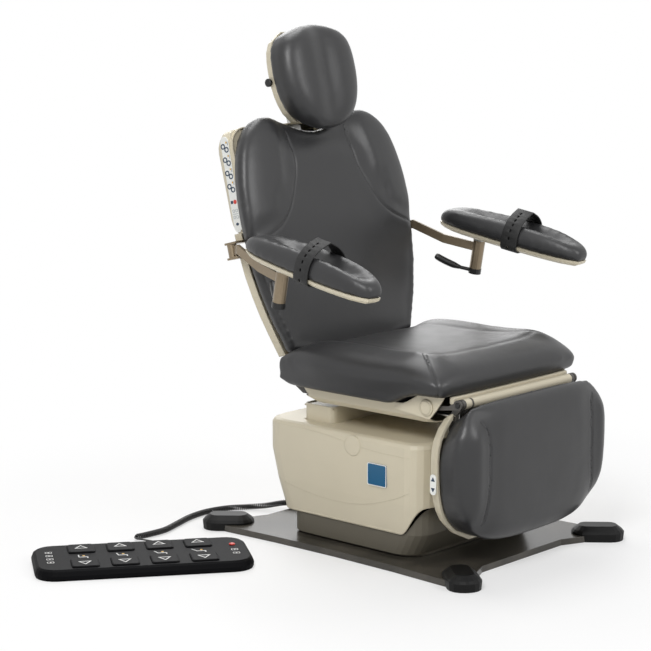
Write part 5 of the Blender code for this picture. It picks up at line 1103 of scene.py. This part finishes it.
class CHAIR_OT_straps(bpy.types.Operator):
    """Bend the forearm straps round their pads and cut the row of holes"""
    bl_idname = "chair.straps"
    bl_label = "Straps"

    def execute(self, context):
        sizes = context.scene.chair_sizes
        for _, hand in SIDES:
            node = "arm_strap_" + hand
            joint = JOINTS["pad_swivel_" + hand]
            axis, start = Vector(joint["axis"]), Vector(joint["pos_m"])
            along = forearm_direction(hand, axis)
            across = along.cross(axis)
            reach = (coordinates(NODES[node].data) - np.array(start)) @ np.array(along)
            place = Matrix((across, axis, along)).transposed().to_4x4()
            place.translation = start + along * (0.5 * (reach.min() + reach.max()))
            strap = new_piece("forearm_strap_" + hand, self.band(sizes, place), "forearm_" + hand,
                              strap_rubber(context), False)
            self.punch(context, strap, axis, along, across if across.x < 0.0 else -across)
            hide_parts(node)
            # Black backing behind the holes: partly the strap's real under layer, partly painted shade in the
            # holes
            new_piece("strap_liner_" + hand, self.liner(sizes, place, 1.0 if across.x < 0.0 else -1.0),
                      "forearm_" + hand, black_rubber(context))
        return {"FINISHED"}

    def bent(self, line):
        return smooth_line([(x * MM, y * MM, 0.0) for x, y in line], 0.004)

    def liner(self, sizes, place, side):
        """The strap's under layer, which closes the holes from behind; it is black rubber, darker than the
        strap, so it is painted shade in the holes.
        """
        line = [Vector((side * point.x, point.y)) for point in self.bent(STRAP_LINE[3:])][:-2]
        inward = []
        for index, point in enumerate(line):
            run = (line[min(index + 1, len(line) - 1)] - line[max(index - 1, 0)]).normalized()
            inward.append(Vector((-run.y, run.x)) * side)
        near = [tuple(point + out * (0.15 * MM)) for point, out in zip(line, inward)]
        far = [tuple(point + out * (1.15 * MM)) for point, out in zip(line, inward)]
        shape = bmesh.new()
        slab(shape, near + far[::-1], -0.4 * sizes.strap_width, 0.4 * sizes.strap_width, place)
        return shape

    def band(self, sizes, place):
        """A closed band with a peak, in the plane across the forearm."""
        half = [(point.x, point.y) for point in self.bent(STRAP_LINE)]
        line = half + [(-x, y) for x, y in reversed(half[1:-1])]
        count = len(line)
        outer = []
        for index, (x, y) in enumerate(line):
            before, after = Vector(line[index - 1]), Vector(line[(index + 1) % count])
            run = (after - before).normalized()
            outer.append((x + run.y * sizes.strap_thickness, y - run.x * sizes.strap_thickness))
        shape = bmesh.new()
        frame_slab(shape, outer, line, -0.5 * sizes.strap_width, 0.5 * sizes.strap_width, place)
        return shape

    def punch(self, context, strap, axis, along, out):
        """Cut the holes on the side that the strap is fastened from, and round the strap's edges."""
        points = coordinates(strap.data)
        centre = Vector(0.5 * (points.min(axis=0) + points.max(axis=0)))
        surface = surface_of(strap.data)
        shape = bmesh.new()
        for turn in HOLE_TURNS:
            angle = math.radians(turn)
            aim = out * math.cos(angle) + axis * math.sin(angle)
            place, normal = surface.ray_cast(centre + aim * 0.3, -aim)[:2]
            if place is None:
                raise RuntimeError("no strap under a hole")
            slab(shape, oval(0.0050, 0.0034, 14), -0.005, 0.005, standing(place, normal.cross(along), along))
        cutter = bpy.data.objects.new("holes", mesh_of(shape, "holes"))
        context.scene.collection.objects.link(cutter)
        change = strap.modifiers.new("holes", "BOOLEAN")
        change.operation = "DIFFERENCE"
        change.solver = "EXACT"
        change.object = cutter
        bevel = strap.modifiers.new("edge", "BEVEL")
        bevel.width = 0.6 * MM
        bevel.segments = 2
        bevel.angle_limit = math.radians(50.0)
        mesh = apply_changes(strap)
        mesh.shade_smooth()
        mesh.set_sharp_from_angle(angle=SHARP_ANGLE)
        bpy.data.objects.remove(cutter, do_unlink=True)


class CHAIR_OT_cover_trim(bpy.types.Operator):
    """Add the moulded discs, lines, lip and bare plaque of the base cover"""
    bl_idname = "chair.cover_trim"
    bl_label = "Base cover trim"

    def execute(self, context):
        surface = node_surface("base_cover")
        beige = beige_abs(context)
        band = [(0.285, 0.334), (0.131, 0.331), (0.006, 0.319), (-0.090, 0.308), (-0.190, 0.305),
                (-0.235, 0.306)]
        smile = [(0.262, 0.172), (0.171, 0.152), (0.062, 0.141), (-0.053, 0.148), (-0.160, 0.178),
                 (-0.225, 0.207)]
        for side, hand in SIDES:
            shape = bmesh.new()
            for line, radius in ((band, 1.6 * MM), (smile, 1.1 * MM)):
                guide = smooth_line([(side * 0.4, y, z) for y, z in line], 0.008)
                found = [surface.ray_cast(point, (-side, 0.0, 0.0)) for point in guide]
                path = [hit[0] - hit[1] * (0.55 * radius) for hit in found if hit[0]]
                tube_mesh(shape, path, radius, 8)
            new_piece("cover_lines_" + hand, shape, "base", beige)
            place, normal = surface.ray_cast((side * 0.5, -0.026, 0.311), (-side, 0.0, 0.0))[:2]
            stand = standing(place, normal.cross(UP) * -1.0, UP)
            shape = bmesh.new()
            rings = ((0.0290, -0.002), (0.0290, 0.0012), (0.0278, 0.0022), (0.0240, 0.0026), (0.0, 0.0030))
            dome(shape, rings, stand)
            new_piece("cover_disc_" + hand, shape, "base", beige)
        self.make_lip(surface, beige)
        place, normal = surface.ray_cast((-0.5, -0.116, 0.243), (1.0, 0.0, 0.0))[:2]
        stand = standing(place, normal.cross(UP) * -1.0, UP)
        shape = bmesh.new()
        edge = round_box(0.0345, 0.0315, 0.006)
        slab(shape, edge, -0.001, 0.0022, stand)
        blue = printed("vitreous_enamel_fired", tint(context, "plaque"), 0.22)
        new_piece("cover_plaque", shape, "base", blue)
        shape = bmesh.new()
        frame_slab(shape, edge, round_box(0.0322, 0.0292, 0.0045), 0.0018, 0.0030, stand)
        new_piece("cover_plaque_rim", shape, "base", key_film(context))
        return {"FINISHED"}

    def make_lip(self, surface, material):
        """The rolled lower edge of the cover, which follows the skirt's sweep at the front."""
        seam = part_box("base_cover")[0].z
        rise = 0.166 - seam
        path = []
        for x, y in sweep(-38.0, 256.0, 140):
            out = Vector((x, y, 0.0))
            level = seam
            for _ in range(4):
                hit = surface.ray_cast(out * 0.8 + UP * (level + 0.0035), -out)
                if hit[0] is None:
                    break
                share = min(max((-0.190 - hit[0].y) / 0.072, 0.0), 1.0)
                level = seam + rise * eased(share)
            if hit[0] is not None:
                path.append(hit[0] - hit[1] * 0.0012)
        shape = bmesh.new()
        tube_mesh(shape, path, 2.4 * MM, 8)
        new_piece("cover_lip", shape, "base", material)


class CHAIR_OT_key_panels(bpy.types.Operator):
    """Print the keys on the side panel and on the legrest"""
    bl_idname = "chair.key_panels"
    bl_label = "Key panels"

    def execute(self, context):
        inks = {name: printed("ink_" + name + "_screen_printed", tint(context, name), roughness)
                for name, roughness in (("navy", 0.4), ("yellow", 0.4), ("red", 0.35), ("grey", 0.4))}
        panel = self.panel_matrix()
        shape = bmesh.new()
        slab(shape, round_box(0.0150, 0.1365, 0.0149, (0.0, 0.0), 9), -0.0020, 0.0, panel)
        sheet = new_piece("side_film", shape, "back", key_film(context))
        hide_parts("side_panel")
        marks = {name: bmesh.new() for name in inks}
        low, high = 0.0, 0.0007
        aside = -0.0012
        for up in (0.104, 0.066, 0.028, -0.010):
            for across, lift in ((-0.0062, 0.0052), (0.0062, -0.0052)):
                centre = (aside + across, up + lift)
                frame_slab(marks["navy"], oval(0.0084, 0.0080, 22, centre), oval(0.0050, 0.0047, 22, centre),
                           low, high, panel)
            slab(marks["yellow"], oval(0.0022, 0.0030, 12, (aside + 0.0085, up + 0.0150)), low, high, panel)
            slab(marks["grey"], round_box(0.0008, 0.0055, 0.0006, (aside + 0.0130, up + 0.0120), 2),
                 low, high, panel)
        slab(marks["red"], oval(0.0058, 0.0058, 24, (0.0050, -0.050)), low, 0.0016, panel)
        slab(marks["navy"], round_box(0.0046, 0.0044, 0.0018, (-0.0080, -0.050), 3), low, high, panel)
        for across in (-0.0065, 0.0055):
            for up in (-0.075, -0.093):
                frame_slab(marks["grey"], round_box(0.0040, 0.0042, 0.0015, (across, up), 3),
                           round_box(0.0031, 0.0033, 0.0010, (across, up), 3), low, high, panel)
        slab(marks["grey"], round_box(0.0105, 0.0005, 0.0004, (-0.0005, -0.084), 2), low, high, panel)
        slab(marks["navy"], oval(0.0056, 0.0040, 20, (0.0, -0.113)), low, high, panel)
        for name, shape in marks.items():
            new_piece("panel_" + name, shape, "back", inks[name])

        face_low, face_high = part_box("legrest_keys")
        middle = 0.5 * (face_low + face_high)
        shape = bmesh.new()
        place = standing((face_low.x, middle.y, middle.z), (0.0, -1.0, 0.0), UP)
        for sense in (-1.0, 1.0):
            tip = [(-0.0065, sense * 0.009), (0.0065, sense * 0.009), (0.0, sense * 0.0205)]
            slab(shape, tip, low, high, place)
        new_piece("legrest_arrows", shape, "legrest", inks["navy"])
        return {"FINISHED"}

    def panel_matrix(self):
        """Place of the film on the side panel's outer face, with x forwards and y up along the pad's edge."""
        points = coordinates(NODES["side_panel"].data)
        middle = Vector(0.5 * (points.min(axis=0) + points.max(axis=0))) - BACK_FORWARD * 0.0055
        middle.x = points[:, 0].min()
        lean = 0.035
        return standing(middle, BACK_FORWARD - BACK_UP * lean, BACK_UP + BACK_FORWARD * lean)


class CHAIR_OT_foot_marks(bpy.types.Operator):
    """Print the arrows and plain signs on the foot control"""
    bl_idname = "chair.foot_marks"
    bl_label = "Foot control marks"

    def execute(self, context):
        white = printed("ink_white_pad_printed", tint(context, "white"), 0.45)
        yellow = printed("ink_yellow_screen_printed", tint(context, "yellow"), 0.4)
        red = moulded("red_nylon_moulded", tint(context, "red"), 0.32, 1.5, 0.05, edge_mm=1.0, change=0.05)
        turn = Matrix.Rotation(PEDAL_TURN, 4, "Z")
        for index in range(1, 9):
            low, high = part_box("foot_pad_" + str(index))
            middle = 0.5 * (low + high)
            sense = 1.0 if index <= 4 else -1.0
            place = Matrix.Translation((middle.x, middle.y, high.z)) @ turn
            shape = bmesh.new()
            tip = [(-0.018, -0.006), (0.018, -0.006), (0.0, 0.024)]
            inner = [(-0.0128, -0.0030), (0.0128, -0.0030), (0.0, 0.0182)]
            frame_slab(shape, [(x, sense * y) for x, y in tip], [(x, sense * y) for x, y in inner],
                       INK_DEPTH, INK_RISE, place)
            new_piece("pad_arrow_" + str(index), shape, "foot_key_" + str(index), white)
        deck = Matrix.Translation(PEDAL_PLACE + UP * PEDAL_TOP) @ turn
        signs = bmesh.new()
        spots = bmesh.new()
        for column in range(4):
            x = 0.1076 * (column - 1.5)
            lean = (column - 1.5) * 0.004
            slab(signs, round_box(0.0130, 0.0018, 0.0016, (x, -0.0075), 2), INK_DEPTH, INK_RISE, deck)
            slab(signs, [(x - 0.0130, -0.0060), (x - 0.0100, -0.0060), (x - 0.0160 - lean, 0.0130),
                         (x - 0.0190 - lean, 0.0130)], INK_DEPTH, INK_RISE, deck)
            slab(signs, round_box(0.0018, 0.0060, 0.0016, (x + 0.0118, -0.0135), 2), INK_DEPTH, INK_RISE,
                 deck)
            slab(spots, oval(0.0038, 0.0038, 16, (x + 0.002, 0.0040)), INK_DEPTH, SPOT_RISE, deck)
        for x, y in ((-0.252, 0.050), (-0.252, 0.018), (-0.252, -0.014), (-0.252, -0.046), (0.254, -0.010),
                     (0.254, -0.044)):
            frame_slab(signs, round_box(0.0095, 0.0070, 0.003, (x, y), 3),
                       round_box(0.0080, 0.0055, 0.002, (x, y), 3), INK_DEPTH, INK_RISE, deck)
            slab(signs, oval(0.0024, 0.0024, 12, (x, y)), INK_DEPTH, INK_RISE, deck)
        new_piece("deck_signs", signs, "base", white)
        new_piece("deck_spots", spots, "base", yellow)
        shape = bmesh.new()
        dome(shape, ((0.0085, -0.0005), (0.0085, 0.0025), (0.0070, 0.0038), (0.0, 0.0042)),
             deck @ Matrix.Translation((0.254, 0.040, 0.0)))
        new_piece("stop_key", shape, "base", red)
        return {"FINISHED"}


class CHAIR_OT_small_hardware(bpy.types.Operator):
    """Add the shell's ribs, the pivot rings, the nuts, the shaft sleeves, the lids and the grips"""
    bl_idname = "chair.small_hardware"
    bl_label = "Small hardware"

    def execute(self, context):
        self.make_ribs(context)
        self.make_rings(context)
        self.make_bolts(context)
        self.make_sleeves(context)
        self.make_lids(context)
        self.make_grips(context)
        return {"FINISHED"}

    def make_grips(self, context):
        """Thick rubber grips on the clamp levers, which swell behind a short neck."""
        for _, hand in SIDES:
            joint = JOINTS["clamp_lever_" + hand]
            axis, start = np.array(joint["axis"]), np.array(joint["pos_m"])
            rest = coordinates(NODES["arm_lever_" + hand].data) - start
            height = rest @ axis
            flat = rest - np.outer(height, axis)
            reach = np.linalg.norm(flat, axis=1)
            end = reach > 0.99 * reach.max()
            tip = Vector(flat[end].mean(axis=0)).normalized() * reach.max()
            hub = 0.5 * (height[reach < 0.020].min() + height[reach < 0.020].max())
            rise = height[end].mean() - hub
            path = []
            for share, _ in GRIP_PROFILE:
                level = hub + rise * share * share
                path.append(Vector(start) + Vector(axis) * level + tip * share)
            shape = bmesh.new()
            tube_mesh(shape, path, [radius * MM for _, radius in GRIP_PROFILE], 20)
            new_piece("lever_grip_" + hand, shape, "clamp_" + hand,
                      black_nylon(context))

    def make_lids(self, context):
        """Flat lids just inside the rim of the back shell's lobe, on both sides of the headrest's sleeve."""
        for side, hand in SIDES:
            stand = standing(back_point(side * 0.1735, 0.5445, 0.0), (1.0, 0.0, 0.0), BACK_UP)
            shape = bmesh.new()
            slab(shape, round_box(0.1235, 0.1525, 0.020), -0.0030, -0.0012, stand)
            new_piece("lobe_lid_" + hand, shape, "back", beige_abs(context))

    def make_sleeves(self, context):
        """Pale sleeves on the leg shaft, between the legrest's crank and its eyes."""
        stand = standing(LEG_AXIS, (0.0, 1.0, 0.0), UP)
        shape = bmesh.new()
        for low, high in ((-0.2372, -0.2130), (-0.2052, 0.2372)):
            frame_slab(shape, oval(0.0140, 0.0140, 32), oval(0.0086, 0.0086, 32), low, high, stand)
        new_piece("leg_shaft_sleeves", shape, "seat", beige_abs(context))

    def make_ribs(self, context):
        """Three fine ribs round the side of the legrest shell."""
        surface = node_surface("legrest_shell")
        low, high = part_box("legrest_shell")
        centre = 0.5 * (low + high)
        for index, share in enumerate((0.10, 0.24, 0.38)):
            level = low.y + share * (high.y - low.y)
            path = []
            for x, z in sweep(-215.0, 250.0, 120):
                out = Vector((x, 0.0, z))
                start = Vector((0.0, level, centre.z + 0.02)) + out * 0.7
                hit = surface.ray_cast(start, -out)
                if hit[0] is not None:
                    path.append(hit[0] - hit[1] * (0.5 * MM))
            shape = bmesh.new()
            tube_mesh(shape, path, 1.3 * MM, 6)
            new_piece("leg_shell_rib_" + str(index + 1), shape, "legrest", beige_abs(context))

    def make_rings(self, context):
        for side, hand in SIDES:
            low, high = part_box("pivot_cap_" + hand)
            middle = 0.5 * (low + high)
            face = low.x if side < 0 else high.x
            stand = standing((face, middle.y, middle.z), (0.0, side, 0.0), UP)
            shape = bmesh.new()
            radius = 0.5 * (high.z - low.z)
            frame_slab(shape, oval(0.80 * radius, 0.80 * radius, 40), oval(0.72 * radius, 0.72 * radius, 40),
                       -0.0005, 0.0010, stand)
            new_piece("pivot_ring_" + hand, shape, "seat", beige_abs(context))

    def make_bolts(self, context):
        """Domed nuts on the ends of the leg shaft."""
        low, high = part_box("leg_shaft")
        for side, hand in SIDES:
            face = low.x if side < 0 else high.x
            stand = standing((face, LEG_AXIS.y, LEG_AXIS.z), (0.0, side, 0.0), UP)
            shape = bmesh.new()
            dome(shape, ((0.0080, 0.0002), (0.0080, 0.0022), (0.0062, 0.0034), (0.0, 0.0040)), stand)
            new_piece("leg_nut_" + hand, shape, "seat", black_nylon(context))


class CHAIR_PT_panel(bpy.types.Panel):
    """Lists the chair's pieces"""
    bl_idname = "CHAIR_PT_panel"
    bl_label = "Surgery chair"
    bl_space_type = "VIEW_3D"
    bl_region_type = "UI"
    bl_category = "Chair"

    def draw(self, context):
        for operator in OPERATORS:
            self.layout.operator(operator.bl_idname)


OPERATORS = (
    CHAIR_OT_stage, CHAIR_OT_cord, CHAIR_OT_finishes, CHAIR_OT_seat_pad, CHAIR_OT_back_pad, CHAIR_OT_head_pad,
    CHAIR_OT_leg_pad, CHAIR_OT_arm_pads, CHAIR_OT_straps, CHAIR_OT_cover_trim, CHAIR_OT_key_panels,
    CHAIR_OT_foot_marks, CHAIR_OT_small_hardware,
)
CLASSES = (ChairSizes, ChairColours, *OPERATORS, CHAIR_PT_panel)


def register():
    for item in CLASSES:
        bpy.utils.register_class(item)
    bpy.types.Scene.chair_sizes = PointerProperty(type=ChairSizes)
    bpy.types.Scene.chair_colours = PointerProperty(type=ChairColours)


def unregister():
    del bpy.types.Scene.chair_colours
    del bpy.types.Scene.chair_sizes
    for item in reversed(CLASSES):
        bpy.utils.unregister_class(item)


def main():
    register()
    for operator in OPERATORS:
        group, name = operator.bl_idname.split(".")
        getattr(getattr(bpy.ops, group), name)()


if __name__ == "__main__":
    main()
